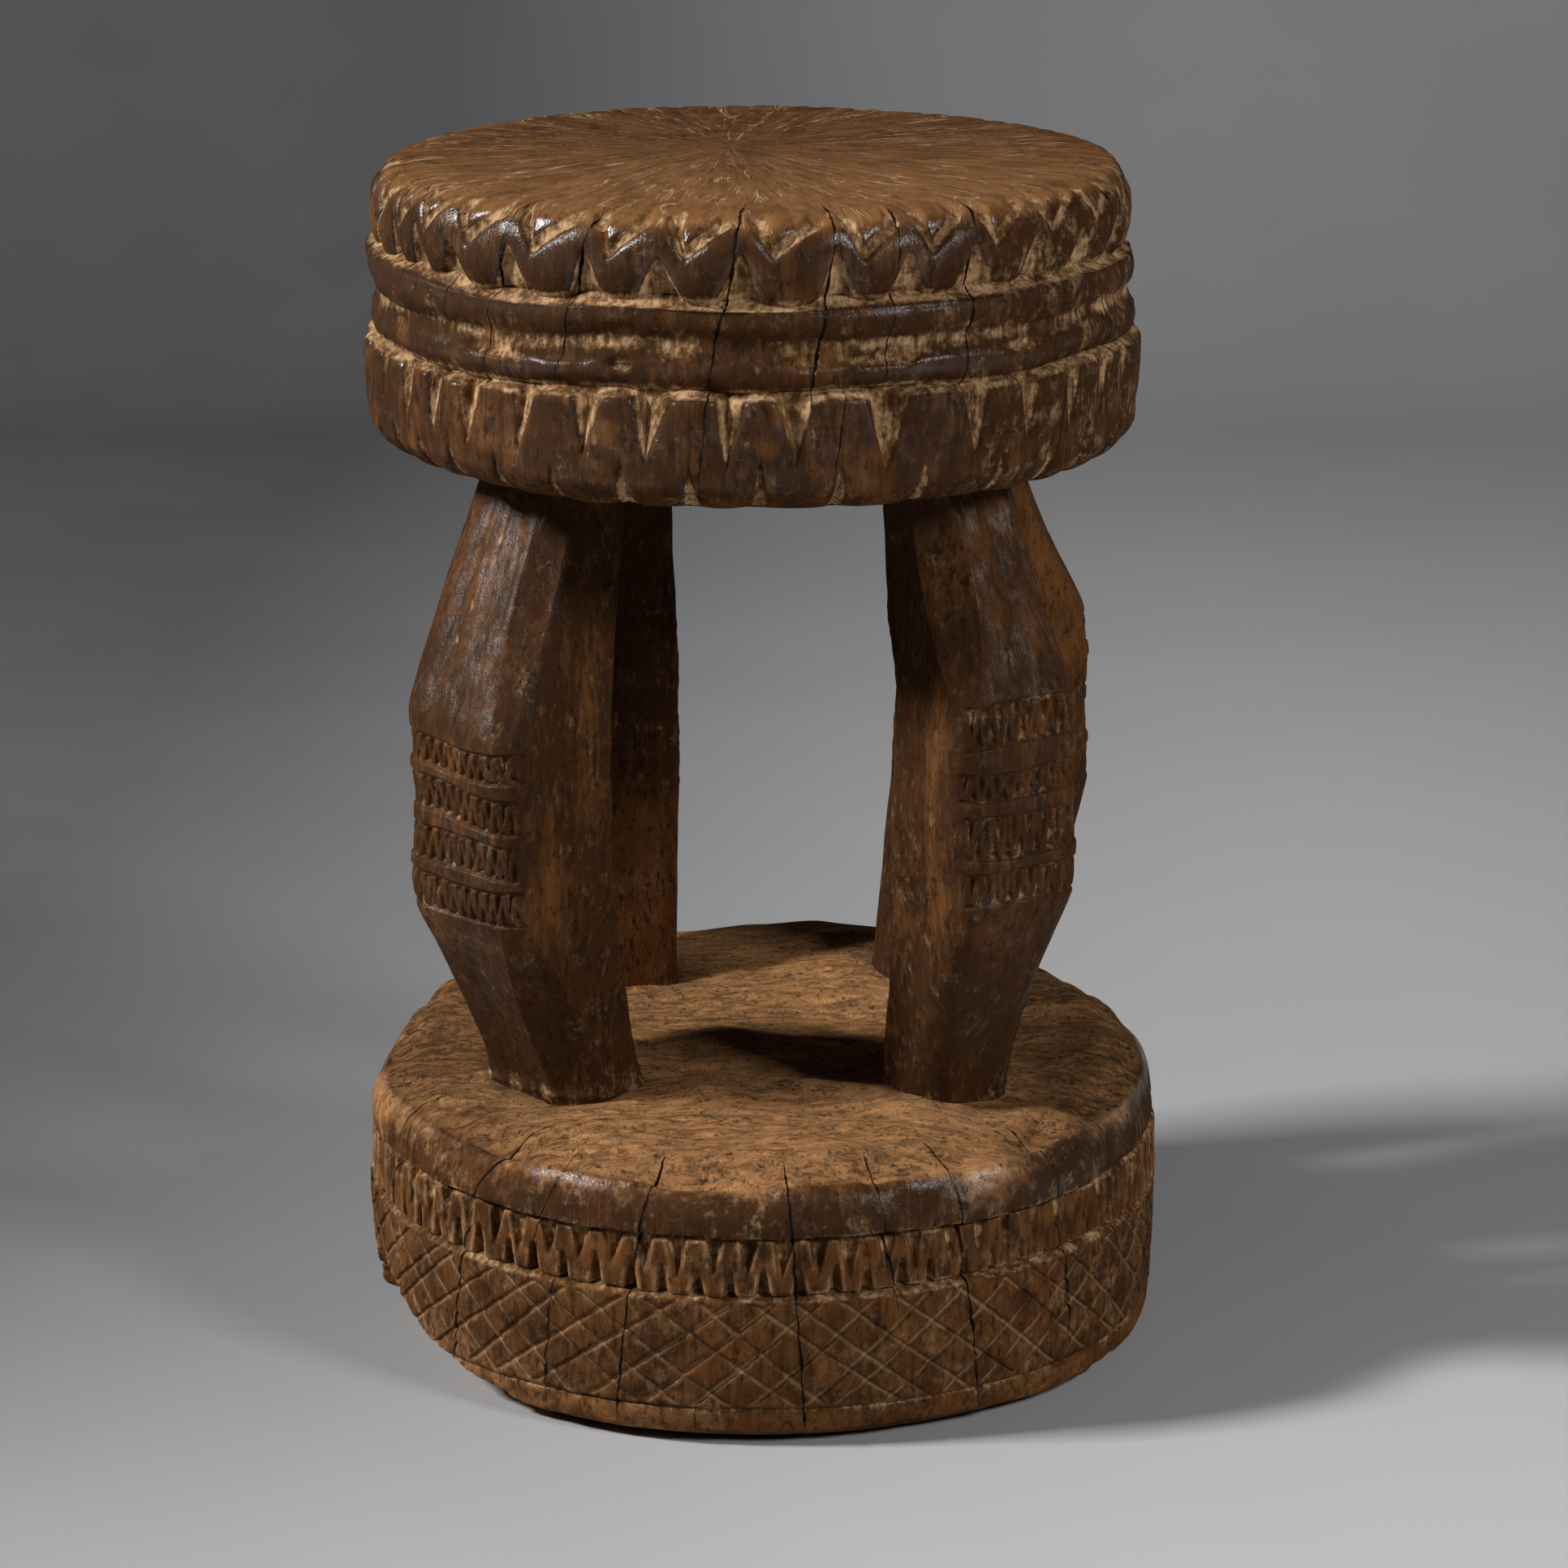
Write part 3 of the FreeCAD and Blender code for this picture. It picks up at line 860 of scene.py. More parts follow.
def aside(angles: np.ndarray) -> np.ndarray:
    """How dull the seat's wall is: its right side lost its wax, from one angle to another."""
    return (ease(22.0, 48.0, angles) * ease(150.0, 110.0, angles))[None, :]


def sway(angles: np.ndarray) -> np.ndarray:
    """How far the hand's level lines on the seat stray up and down: three waves round it."""
    turn = np.radians(angles)[None, :]
    return 0.6 * np.sin(2.0 * turn + 0.6) + 0.5 * np.sin(5.0 * turn + 2.0) + 0.4 * np.sin(9.0 * turn + 4.4)


@dataclass
class SeatBand(Band):
    """A band of the seat, with the seat's cracks."""

    node: str = "seat"
    slot: str = "seat_wood"
    middle: float = -3.5

    def cracks(self) -> list[Crack]:
        """The seat's cracks: those in sight follow the wood's own lines, those behind are even.

        Returns:
            The cracks in order round the seat.
        """
        seen = [
            Crack(((-72.0, 404.0), (-75.0, 372.0), (-77.0, 346.0)), 0.32),
            Crack(((-57.5, 404.0), (-60.0, 384.0), (-61.5, 366.0)), 0.30),
            Crack(((-47.0, 406.0), (-49.4, 378.0), (-50.5, 360.0)), 0.32),
            Crack(((-36.0, 405.0), (-40.8, 370.4), (-42.7, 340.0)), 0.34),
            Crack(((-21.6, 412.0), (-26.4, 374.6), (-29.8, 344.0)), 0.50),
            Crack(((-0.6, 420.0), (-2.2, 385.0), (-5.1, 360.5), (-7.6, 309.0)), 0.62),
            Crack(((13.4, 418.0), (11.3, 376.1), (9.0, 350.0), (8.6, 338.0)), 0.62),
            Crack(((13.6, 349.0), (13.0, 338.0), (11.4, 309.0)), 0.50),
            Crack(((22.6, 408.0), (21.0, 372.0), (19.4, 343.0)), 0.36),
            Crack(((35.8, 416.0), (33.7, 372.6), (32.2, 341.8), (31.6, 330.0)), 0.60),
            Crack(((52.0, 372.0), (51.0, 340.0), (50.0, 312.0)), 0.34),
            Crack(((68.0, 404.0), (66.0, 370.0), (65.0, 330.0)), 0.34),
        ]
        turns = np.linspace(84.0, 272.0, 14)
        ends = ((398.0, 416.0), (310.0, 352.0))
        return seen + cracks_behind(seed=41, turns=turns, leans=(4.0, 0.0), ends=ends, widest=0.6)


@dataclass
class SeatRim(SeatBand):
    """The seat's worn top, and the band of chevron cuts and gussets under its edge."""

    # The half section, from inside the ridges to the middle of the top.
    first: tuple[float, float] = (3.0, 370.0)
    runs: Runs = (
        (117.5, 370.4, 0.0, 58.0), (120.6, 373.2, 0.0, 1.4), (123.0, 376.6, 0.2, 0.8),
        (124.4, 390.5, 0.8, 0.72), (114.0, 399.5, 2.7, 0.78), (104.0, 400.0, 0.2, 3.3),
        (3.0, 400.0, 0.0, 11.0),
    )
    # Where one chevron meets the next round the front, and how many more there are behind.
    joins: tuple[float, ...] = (
        -88.0, -77.0, -66.5, -58.5, -49.8, -37.5, -24.6, -13.2, -1.2, 12.6, 23.5, 34.6, 46.5, 58.5,
        71.0, 83.5,
    )
    joins_behind: int = 14
    # Levels past the band's upper and lower edge, from which the cuts come.
    above: float = 402.0
    below: float = 370.0
    # Heights of the arms' tips and the gussets' peaks, the depths of the cuts, and the crown between them.
    tips: float = 386.4
    peaks: float = 389.8
    broad_depth: float = 2.5
    slim_depth: float = 2.1
    gusset_depth: float = 3.5
    crown: float = 3.0
    seed: int = 7
    grain: int = 11

    def chevron(self, left: float, right: float, chance: np.random.Generator) -> list[tuple[float, Chip]]:
        """The cuts of one cell: a broad arm, a slim arm, and the gusset at the join on its left.

        Args:
            left: angle of the join on the left.
            right: angle of the join on the right.
            chance: for the hand's small differences.

        Returns:
            Pairs of an angle and a chip about that angle.
        """
        wide = math.radians(right - left) * self.radius.max()
        worn = float(1.0 - 0.5 * ease(42.0, 60.0, np.array(left)) * ease(100.0, 80.0, np.array(left)))
        tip = wide * chance.uniform(0.32, 0.38)
        low = self.tips + chance.uniform(-0.9, 0.7)
        corners = ((0.0, self.above), (tip - 0.6, low), (tip + 0.6, low), (0.28 * wide, self.above))
        broad = Chip(corners, (1.9, 1.8, 2.8, OPEN), self.broad_depth * worn)
        end = wide * chance.uniform(0.90, 0.97)
        corners = ((tip - 0.4, low - 0.3), (end, low + 11.8), (end - 3.0, low + 15.4), (tip - 0.2, low + 5.2))
        slim = Chip(corners, (2.0, 3.0, 2.8, 3.0), self.slim_depth * worn)
        half = min(0.36 * wide, 9.6) * chance.uniform(0.90, 1.1)
        peak = self.peaks + chance.uniform(-1.8, 1.2)
        corners = ((-half, self.below), (half * 1.04, self.below), (0.6, peak), (-0.6, peak))
        gusset = Chip(corners, (OPEN, 1.9, 0.7, 2.1), self.gusset_depth * worn)
        return [(left, broad), (left, slim), (left, gusset)]

    def carve(self) -> tuple[np.ndarray, Fields]:
        """Cuts the chevrons and wears the edge and the top.

        Returns:
            The grid's places, and its fields.
        """
        chance = np.random.default_rng(self.seed)
        joins = fill_round(self.joins, self.joins_behind)
        cells = zip(joins, [*joins[1:], joins[0] + 360.0])
        chips = [cut for left, right in cells for cut in self.chevron(left, right, chance)]
        height = self.height[:, None]
        sunk = self.cut(chips, 0.8) * ease(400.0, 399.0, height)
        slow, small, fibre = drifts(self.shape, self.grain, (16.0, 44.0), (3.0, 5.0), (14.0, 1.5))
        floor = ease(0.5, 2.0, sunk)
        grown = (0.5 * slow + 0.14 * small) * self.wall * (1.0 - self.disc) + 0.25 * fibre * floor
        dips = 0.22 * strew(self.x, self.y, 16.0, self.grain + 3)
        dips = dips + 0.1 * strew(self.x, self.y, 6.0, self.grain + 4)
        grown = grown + dips * self.disc
        grown = grown + pillow(sunk, self.crown) * self.wall * (1.0 - self.disc)
        glow = drift(self.shape, (7.0, 12.0), self.grain + 5)
        lift = sway(self.angles) * ease(397.0, 380.0, height)
        rubbed = ease(0.25, 1.2, soften(sunk, (4.0, 5.0)) - sunk) * (1.0 - self.disc)
        ledge = ease(376.4, 374.0, height)
        dust = hold(np.maximum(ease(0.4, 1.4, sunk), ledge) * (0.9 + 0.2 * small))
        rim = lump(height, 397.0, 3.0) * (1.0 - 0.8 * self.disc)
        low = ease(388.0, 378.0, height)
        far = aside(self.angles) * (1.0 - self.disc)
        dulled = 0.35 * far + 1.2 * dust + 0.55 * self.disc + 0.3 * low
        faded = 0.60 - 0.45 * ease(-90.0, 80.0, self.y) + 0.10 * ease(-80.0, 80.0, self.x)
        fields = {
            "dust": np.maximum(dust, 0.05 * self.disc + 0.3 * far),
            "gloss": hold(0.66 + 0.4 * rubbed + 0.25 * rim - dulled),
            "pale": hold(0.02 + 0.14 * rim + 0.06 * slow * (1.0 - self.disc)),
            # The stain darkens the tongues towards their bottom, which is painted shade under their overhang.
            "stain": hold((0.7 + 0.5 * low) * (1.0 - self.disc) * (1.0 - floor) - 0.35 * rim, 1.2),
            "warm": hold(0.5 * rim + faded * self.disc + (0.2 * slow + 0.3 * glow) * (1.0 - self.disc), 1.2),
            "disc": self.disc,
        }
        return self.points(sunk, grown, lift), fields


@dataclass
class SeatRidges(SeatBand):
    """The two ridges round the seat: a round one above, a flatter torn one below, dust over both."""

    # The half section, closed inside the bands above and below.
    first: tuple[float, float] = (3.0, 343.0)
    runs: Runs = (
        (119.5, 343.5, 0.0, 58.0), (122.2, 345.6, 0.0, 0.9), (124.9, 354.2, 1.2, 0.6),
        (122.6, 360.4, -0.3, 0.62), (123.0, 361.8, 0.0, 0.7), (125.1, 370.4, 0.9, 0.6),
        (124.0, 372.2, 0.5, 0.6), (119.6, 375.2, -0.3, 0.7), (3.0, 375.6, 0.0, 58.0),
    )
    cover: float = 118.0
    grain: int = 31

    def carve(self) -> tuple[np.ndarray, Fields]:
        """Tears the ridges and lays dust on them.

        Returns:
            The grid's places, and its fields.
        """
        height = self.height[:, None]
        slow, small, ragged = drifts(self.shape, self.grain, (18.0, 50.0), (3.0, 5.0), (4.0, 11.0))
        torn = hold(ragged, 2.2) * (lump(height, 356.5, 3.6) + 0.4 * lump(height, 364.0, 3.0))
        missing = ease(1.5, 2.1, drift(self.shape, (4.0, 8.0), self.grain + 3))
        torn = torn + 2.2 * missing * lump(height, 353.0, 4.0)
        grown = np.where(self.hidden, 0.0, 0.6 * slow + 0.22 * small - 0.9 * torn)
        chop = drift(self.shape, (8.0, 45.0), self.grain + 4)
        grown = grown + np.where(self.hidden, 0.0, 0.8 * chop)
        lift = sway(self.angles)
        ledge = ease(371.4, 372.8, height)
        slope = lump(height, 359.6, 2.6) * (0.75 + 0.3 * ragged)
        foot = ease(347.6, 345.8, height)
        dust = np.maximum(np.maximum(ledge, slope), np.maximum(0.9 * foot, 0.7 * ease(0.3, 1.3, torn)))
        dust = hold(dust * (0.88 + 0.18 * small))
        crest = lump(height, 369.8, 2.2) + lump(height, 352.5, 3.2)
        far = aside(self.angles)
        fields = {
            "dust": np.maximum(dust, 0.2 * far),
            "gloss": hold(0.30 + 0.4 * crest - 1.2 * dust + 0.1 * slow - 0.3 * far),
            "pale": hold(0.03 + 0.05 * slow),
            "stain": hold(0.95 - 0.8 * dust + 0.2 * slow, 1.2),
            "warm": hold(0.1 + 0.3 * ragged, 0.6),
        }
        return self.points(0.0, grown, lift), fields


@dataclass
class SeatTeeth(SeatBand):
    """The seat's lower band: broad notches down from its groove, and small nicks up from its lower edge."""

    # The half section, from the middle of the underside to inside the ridges.
    first: tuple[float, float] = (3.0, 308.0)
    runs: Runs = (
        (112.0, 308.0, 0.0, 36.0), (126.0, 316.5, 2.4, 1.2), (127.4, 340.8, 0.4, 0.74),
        (126.0, 344.2, 0.5, 0.75), (121.0, 345.8, 0.0, 0.9), (3.0, 346.2, 0.0, 60.0),
    )
    # Notches round the front: the point's angle and height, and the reach to the left and right at the top.
    notches: tuple[tuple[float, float, float, float], ...] = (
        (-78.0, 325.0, 4.0, 6.0), (-69.5, 326.0, 3.5, 6.0), (-60.5, 322.0, 4.0, 7.0),
        (-53.0, 324.0, 4.0, 6.5), (-45.3, 321.5, 5.0, 8.5), (-35.0, 323.5, 2.6, 8.8),
        (-24.3, 324.0, 4.2, 9.6), (-14.9, 323.5, 6.0, 11.4), (-3.3, 321.5, 4.8, 7.6),
        (6.6, 324.0, 8.2, 7.6), (19.6, 319.5, 7.6, 10.6), (34.0, 321.5, 6.6, 5.8),
        (43.7, 323.0, 5.0, 6.0), (53.3, 323.0, 5.0, 7.0), (62.5, 323.0, 4.5, 6.0),
        (71.5, 323.0, 5.0, 6.0),
    )
    notches_behind: int = 19
    # Nicks round the front, by their angles.
    nicks: tuple[float, ...] = (
        -83.0, -73.0, -65.5, -57.0, -49.3, -39.5, -29.3, -18.6, -8.6, 1.5, 13.0, 25.8, 39.0, 49.0, 58.0,
        67.0, 76.0,
    )
    nicks_behind: int = 18
    # Levels past the band's upper and lower edge, from which the cuts come.
    above: float = 347.0
    below: float = 303.0
    # Height of the nicks' peaks, the depths of the notches and the nicks, and the crown between them.
    peaks: float = 323.5
    notch_depth: float = 5.4
    nick_depth: float = 2.6
    crown: float = 2.6
    # Inside the groove the ridges cover it, and no cut there goes in past the neck's radius.
    cover: float = 119.5
    cover_from: float = 340.0
    neck: float = 120.8
    seed: int = 9
    grain: int = 51

    def chips(self) -> list[tuple[float, Chip]]:
        """All the band's cuts.

        Returns:
            Pairs of an angle and a chip about that angle.
        """
        chance = np.random.default_rng(self.seed)
        turns = fill_round(tuple(notch[0] for notch in self.notches), self.notches_behind)
        shapes = [notch[1:] for notch in self.notches]
        while len(shapes) < len(turns):
            shapes.append((chance.uniform(320.0, 326.0), chance.uniform(3.0, 8.0), chance.uniform(6.0, 10.0)))
        cuts = []
        for turn, (point, left, right) in zip(turns, shapes):
            corners = ((-left, self.above), (-0.6, point), (0.6, point), (right, self.above))
            cuts.append((turn, Chip(corners, (1.9, 0.6, 0.78, OPEN), self.notch_depth)))
        for turn in fill_round(self.nicks, self.nicks_behind):
            reach = chance.uniform(2.6, 4.8)
            peak = self.peaks + chance.uniform(-3.0, 4.0)
            corners = ((-reach, self.below), (reach, self.below), (0.3, peak), (-0.7, peak))
            cuts.append((turn, Chip(corners, (OPEN, 1.1, 0.6, 2.0), self.nick_depth)))
        return cuts

    def carve(self) -> tuple[np.ndarray, Fields]:
        """Cuts the notches and the nicks.

        Returns:
            The grid's places, and its fields.
        """
        height = self.height[:, None]
        sunk = self.cut(self.chips(), 0.7) * ease(308.2, 309.0, height)
        room = np.maximum(self.radius[:, None] - self.neck, 0.0)
        room = room + np.where(height < self.cover_from, FAR, 0.0)
        sunk = np.where(self.hidden, 0.0, np.minimum(sunk, room))
        slow, small, fibre = drifts(self.shape, self.grain, (16.0, 44.0), (3.0, 5.0), (14.0, 1.5))
        floor = ease(0.5, 2.2, sunk)
        grown = (0.5 * slow + 0.14 * small) * self.wall * ~self.hidden + 0.3 * fibre * floor
        grown = grown + pillow(sunk, self.crown) * self.wall * ~self.hidden
        lift = sway(self.angles) * ease(318.0, 338.0, height)
        rubbed = ease(0.25, 1.2, soften(sunk, (4.0, 5.0)) - sunk)
        lip = ease(342.6, 344.2, height)
        dust = hold(np.maximum(ease(0.4, 1.5, sunk), lip) * (0.9 + 0.2 * small))
        low = ease(318.0, 310.0, height)
        far = aside(self.angles)
        fields = {
            "dust": np.maximum(dust, 0.22 * far),
            "gloss": hold(0.52 + 0.45 * rubbed - 1.2 * dust - 0.3 * low - 0.25 * far),
            "pale": hold(0.03 + 0.05 * slow),
            "stain": hold((0.75 + 0.3 * slow) * (1.0 - floor), 1.2),
            "warm": hold(0.1 + 0.25 * small, 0.5),
        }
        return self.points(sunk, grown, lift), fields


@dataclass
class BaseBand(Band):
    """A band of the base, with the base's cracks."""

    node: str = "base"
    slot: str = "base_wood"

    def cracks(self) -> list[Crack]:
        """The base's cracks: those in sight follow the wood's own lines, those behind are even.

        Returns:
            The cracks in order round the base.
        """
        seen = [
            Crack(((-62.0, 104.0), (-66.0, 72.0), (-68.0, 54.0)), 0.34),
            Crack(((-38.5, 112.0), (-40.9, 89.3), (-45.1, 71.4), (-48.5, 35.9), (-49.6, 12.0)), 0.68),
            Crack(((-28.4, 100.0), (-29.6, 87.8), (-34.0, 63.2), (-34.4, 52.0)), 0.34),
            Crack(((-29.9, 56.0), (-30.7, 45.2), (-32.5, 10.2), (-32.8, 4.0)), 0.44),
            Crack(((-15.3, 104.0), (-16.1, 86.0), (-18.7, 50.8), (-20.6, 15.4), (-21.0, 4.0)), 0.58),
            Crack(((-9.6, 16.0), (-9.4, 3.0)), 0.42),
            Crack(((3.4, 101.0), (3.7, 87.0), (5.6, 18.6), (6.0, 3.0)), 0.66),
            Crack(((15.9, 104.0), (16.5, 85.1), (17.3, 70.4), (18.9, 49.7), (19.2, 44.0)), 0.46),
            Crack(((16.8, 17.0), (17.2, 3.0)), 0.44),
            Crack(((26.9, 108.0), (27.8, 82.2), (32.3, 4.7)), 0.62),
            Crack(((43.6, 106.0), (44.6, 85.5), (48.8, 33.8), (49.4, 14.0)), 0.52),
            Crack(((57.0, 100.0), (59.0, 70.0), (61.8, 36.5)), 0.34),
        ]
        turns = np.linspace(74.0, 284.0, 16)
        ends = ((92.0, 112.0), (4.0, 50.0))
        return seen + cracks_behind(seed=43, turns=turns, leans=(-3.0, 2.0), ends=ends, widest=0.65)

    def blank(self) -> Fields:
        """The fields of a band that has no top and no scored lines."""
        return {**super().blank(), "scored": 0.0, "score_down": FAR, "score_up": FAR}


@dataclass
class BaseTop(BaseBand):
    """The base's rough top and its rubbed shoulder, which overhangs the ribbon."""

    # The half section, from inside the ribbon to the middle of the top.
    first: tuple[float, float] = (3.0, 70.0)
    runs: Runs = (
        (128.5, 70.5, 0.0, 63.0), (131.0, 72.4, 0.0, 1.0), (134.6, 73.4, 0.0, 0.9), (133.2, 83.5, 0.5, 0.8),
        (126.2, 92.4, 1.7, 0.7), (111.0, 94.9, 0.7, 1.2), (52.0, 95.0, 0.0, 1.6), (3.0, 95.0, 0.0, 4.0),
    )
    # How far the rim is worn down round the front: angle and depth.
    wear: Path = (
        (-180.0, 1.0), (-150.0, 2.0), (-120.0, 0.6), (-95.0, 1.8), (-78.0, 0.6), (-60.0, 1.0),
        (-46.0, 1.2), (-41.0, 3.0), (-36.0, 0.6), (-24.0, 0.4), (-18.5, 1.6), (-13.0, 4.6), (-5.0, 4.2),
        (1.5, 2.6), (5.0, 0.9), (14.0, 1.0), (17.0, 2.6), (20.0, 0.8), (27.0, 1.2), (30.0, 2.6),
        (37.0, 0.5), (44.5, 2.2), (52.0, 0.8), (66.0, 1.8), (88.0, 0.5), (110.0, 1.8), (140.0, 0.8),
        (165.0, 2.2), (180.0, 1.0),
    )
    # Where the legs' feet stand: angle and distance from the middle.
    feet: Path = ((-60.0, 81.0), (48.0, 82.0), (128.0, 84.0), (-140.0, 87.0))
    # The hewn relief in layers: each one's force, how it is drawn out sideways, and the size of its cells.
    hewing: tuple[Triple, ...] = ((1.0, 1.0, 26.0), (0.9, 0.5, 9.0), (0.7, 0.5, 4.5), (0.3, 0.6, 2.6))
    cover: float = 130.0
    cover_to: float = 73.0
    grain: int = 21

    def carve(self) -> tuple[np.ndarray, Fields]:
        """Hews the top and wears the shoulder.

        Returns:
            The grid's places, and its fields.
        """
        height = self.height[:, None]
        slow, small, chop = drifts(self.shape, self.grain, (12.0, 34.0), (3.0, 4.0), (7.0, 14.0))
        turn, depth = (np.array(values) for values in zip(*self.wear))
        worn = np.interp(self.angles, turn, depth)[None, :]
        worn = 1.5 * soften(np.repeat(worn, 3, axis=0), (0.1, 3.0))[:1]
        corner = lump(self.run, 91.5, 7.5)[:, None]
        shoulder = self.wall * (1.0 - self.disc) * ~self.hidden
        grown = (0.7 * slow + 0.5 * chop + 0.2 * small) * shoulder - worn * corner * ~self.hidden
        hewn = sum(
            force * strew(self.x * drawn, self.y, cell, seed)
            for seed, (force, drawn, cell) in enumerate(self.hewing, self.grain + 5)
        )
        rise = 4.0 * ease(0.0, 105.0, self.y) + 3.4 * lump(self.x, 30.0, 44.0) * ease(22.0, 46.0, self.y)
        lift = rise * ease(66.0, 95.0, height) * ~self.hidden + hewn * self.disc
        rubbed = corner * (1.0 - 0.85 * self.disc)
        spill = np.zeros(self.shape)
        for angle, reach in self.feet:
            side, fore = reach * math.sin(math.radians(angle)), reach * math.cos(math.radians(angle))
            spill = np.maximum(spill, lump(np.hypot(self.x - side, self.y + fore), 26.0, 9.0))
        under = ease(74.4, 72.6, height)
        # Darker towards the left and the right of the top.
        darker_sides = ease(-50.0, -95.0, self.x) + ease(60.0, 100.0, self.x)
        patina = 0.2 + 0.4 * lump(self.run, 89.0, 4.0)[:, None]
        bare = 0.25 + 0.2 * ease(1.5, 5.0, worn)
        fields = {
            "dust": hold((0.2 + 0.25 * spill) * self.disc + 0.5 * under + 0.12 * shoulder + 0.05 * small),
            "gloss": hold(0.14 + patina * shoulder + 0.1 * slow - 0.5 * self.disc),
            "pale": hold((0.98 - 0.40 * darker_sides) * self.disc + bare * rubbed + (0.1 + 0.2 * chop) * shoulder),
            "stain": hold(0.2 * shoulder + 0.25 * slow - 0.3 * rubbed + 0.3 * darker_sides, 1.2),
            "warm": hold(0.5 * spill + 0.35 * self.disc),
            "disc": self.disc,
        }
        return self.points(0.0, grown, lift), fields


@dataclass
class BaseRibbon(BaseBand):
    """The ribbon under the shoulder: notches from above and from below by turns leave a zigzag standing."""

    # The half section, closed inside the shoulder and the field.
    first: tuple[float, float] = (3.0, 50.5)
    runs: Runs = (
        (129.5, 51.0, 0.0, 64.0), (132.6, 52.8, 0.0, 0.9), (134.2, 54.4, 0.2, 0.6),
        (133.9, 70.2, 0.0, 0.47), (132.6, 71.6, 0.3, 0.5), (130.0, 73.4, 0.0, 0.9), (3.0, 74.0, 0.0, 64.0),
    )
    # How many notches from above there are, as many as from below, and the first one's angle.
    pairs: int = 74
    start: float = -16.8
    # Levels past the ribbon's upper and lower edge, from which the cuts come.
    above: float = 73.0
    below: float = 51.0
    # Heights of the upper notches' tips and the lower ones' peaks, their half widths and their depths.
    tips: float = 59.0
    peaks: float = 64.0
    upper_half: float = 3.5
    lower_half: float = 2.9
    upper_depth: float = 3.0
    lower_depth: float = 3.4
    cover: float = 131.5
    seed: int = 17
    grain: int = 71

    def chips(self) -> list[tuple[float, Chip]]:
        """The ribbon's notches.

        Returns:
            Pairs of an angle and a chip about that angle.
        """
        chance = np.random.default_rng(self.seed)
        pitch = 360.0 / self.pairs
        cuts = []
        for number in range(self.pairs):
            turn = self.start + number * pitch + chance.uniform(-0.45, 0.45)
            ahead = turn_gap(np.array(turn), 0.0)
            thin = float(1.0 - 0.30 * ease(14.0, 34.0, ahead) * ease(95.0, 60.0, ahead))
            half = self.upper_half * thin * chance.uniform(0.85, 1.15)
            point = self.tips + chance.uniform(-1.4, 1.8)
            lean = chance.uniform(-0.8, 1.2)
            corners = ((-half + lean, self.above), (-0.7, point), (0.7, point), (half + lean, self.above))
            cuts.append((turn, Chip(corners, (2.2, 0.6, 2.2, OPEN), self.upper_depth * thin)))
            half = self.lower_half * thin * chance.uniform(0.85, 1.2)
            peak = self.peaks + chance.uniform(-2.2, 1.2)
            corners = ((-half, self.below), (half, self.below), (0.9, peak), (-0.9, peak))
            chip = Chip(corners, (OPEN, 2.4, 0.8, 2.4), self.lower_depth * thin)
            cuts.append((turn + pitch * 0.52 + chance.uniform(-0.35, 0.35), chip))
        return cuts

    def carve(self) -> tuple[np.ndarray, Fields]:
        """Cuts the zigzag's notches.

        Returns:
            The grid's places, and its fields.
        """
        height = self.height[:, None]
        sunk = np.where(self.hidden, 0.0, self.cut(self.chips(), 0.6))
        slow, small, fibre = drifts(self.shape, self.grain, (14.0, 50.0), (4.0, 5.0), (16.0, 1.6))
        floor = ease(0.5, 2.0, sunk)
        grown = np.where(self.hidden, 0.0, 0.35 * slow + 0.14 * small + 0.2 * fibre * floor)
        rubbed = ease(0.2, 1.0, soften(sunk, (3.0, 4.0)) - sunk)
        upper = ease(62.0, 66.0, height)
        edge = ease(69.6, 71.4, height)
        foot = ease(55.2, 53.6, height)
        dust = np.maximum(ease(0.4, 1.8, sunk) * (0.4 + 0.5 * upper), np.maximum(0.7 * edge, 0.68 * foot))
        dust = hold(dust * (0.85 + 0.2 * small))
        fields = {
            "dust": dust,
            "gloss": hold(0.40 + 0.35 * rubbed - dust),
            # Pale on the rubbed edges of the notches: partly wear, partly a painted highlight.
            "pale": hold(0.17 + 0.08 * slow + 0.4 * rubbed),
            "stain": hold(0.25 + 0.25 * slow - 0.4 * dust),
            "warm": hold(0.35 + 0.2 * small, 0.7),
        }
        return self.points(sunk, grown, 0.0), fields


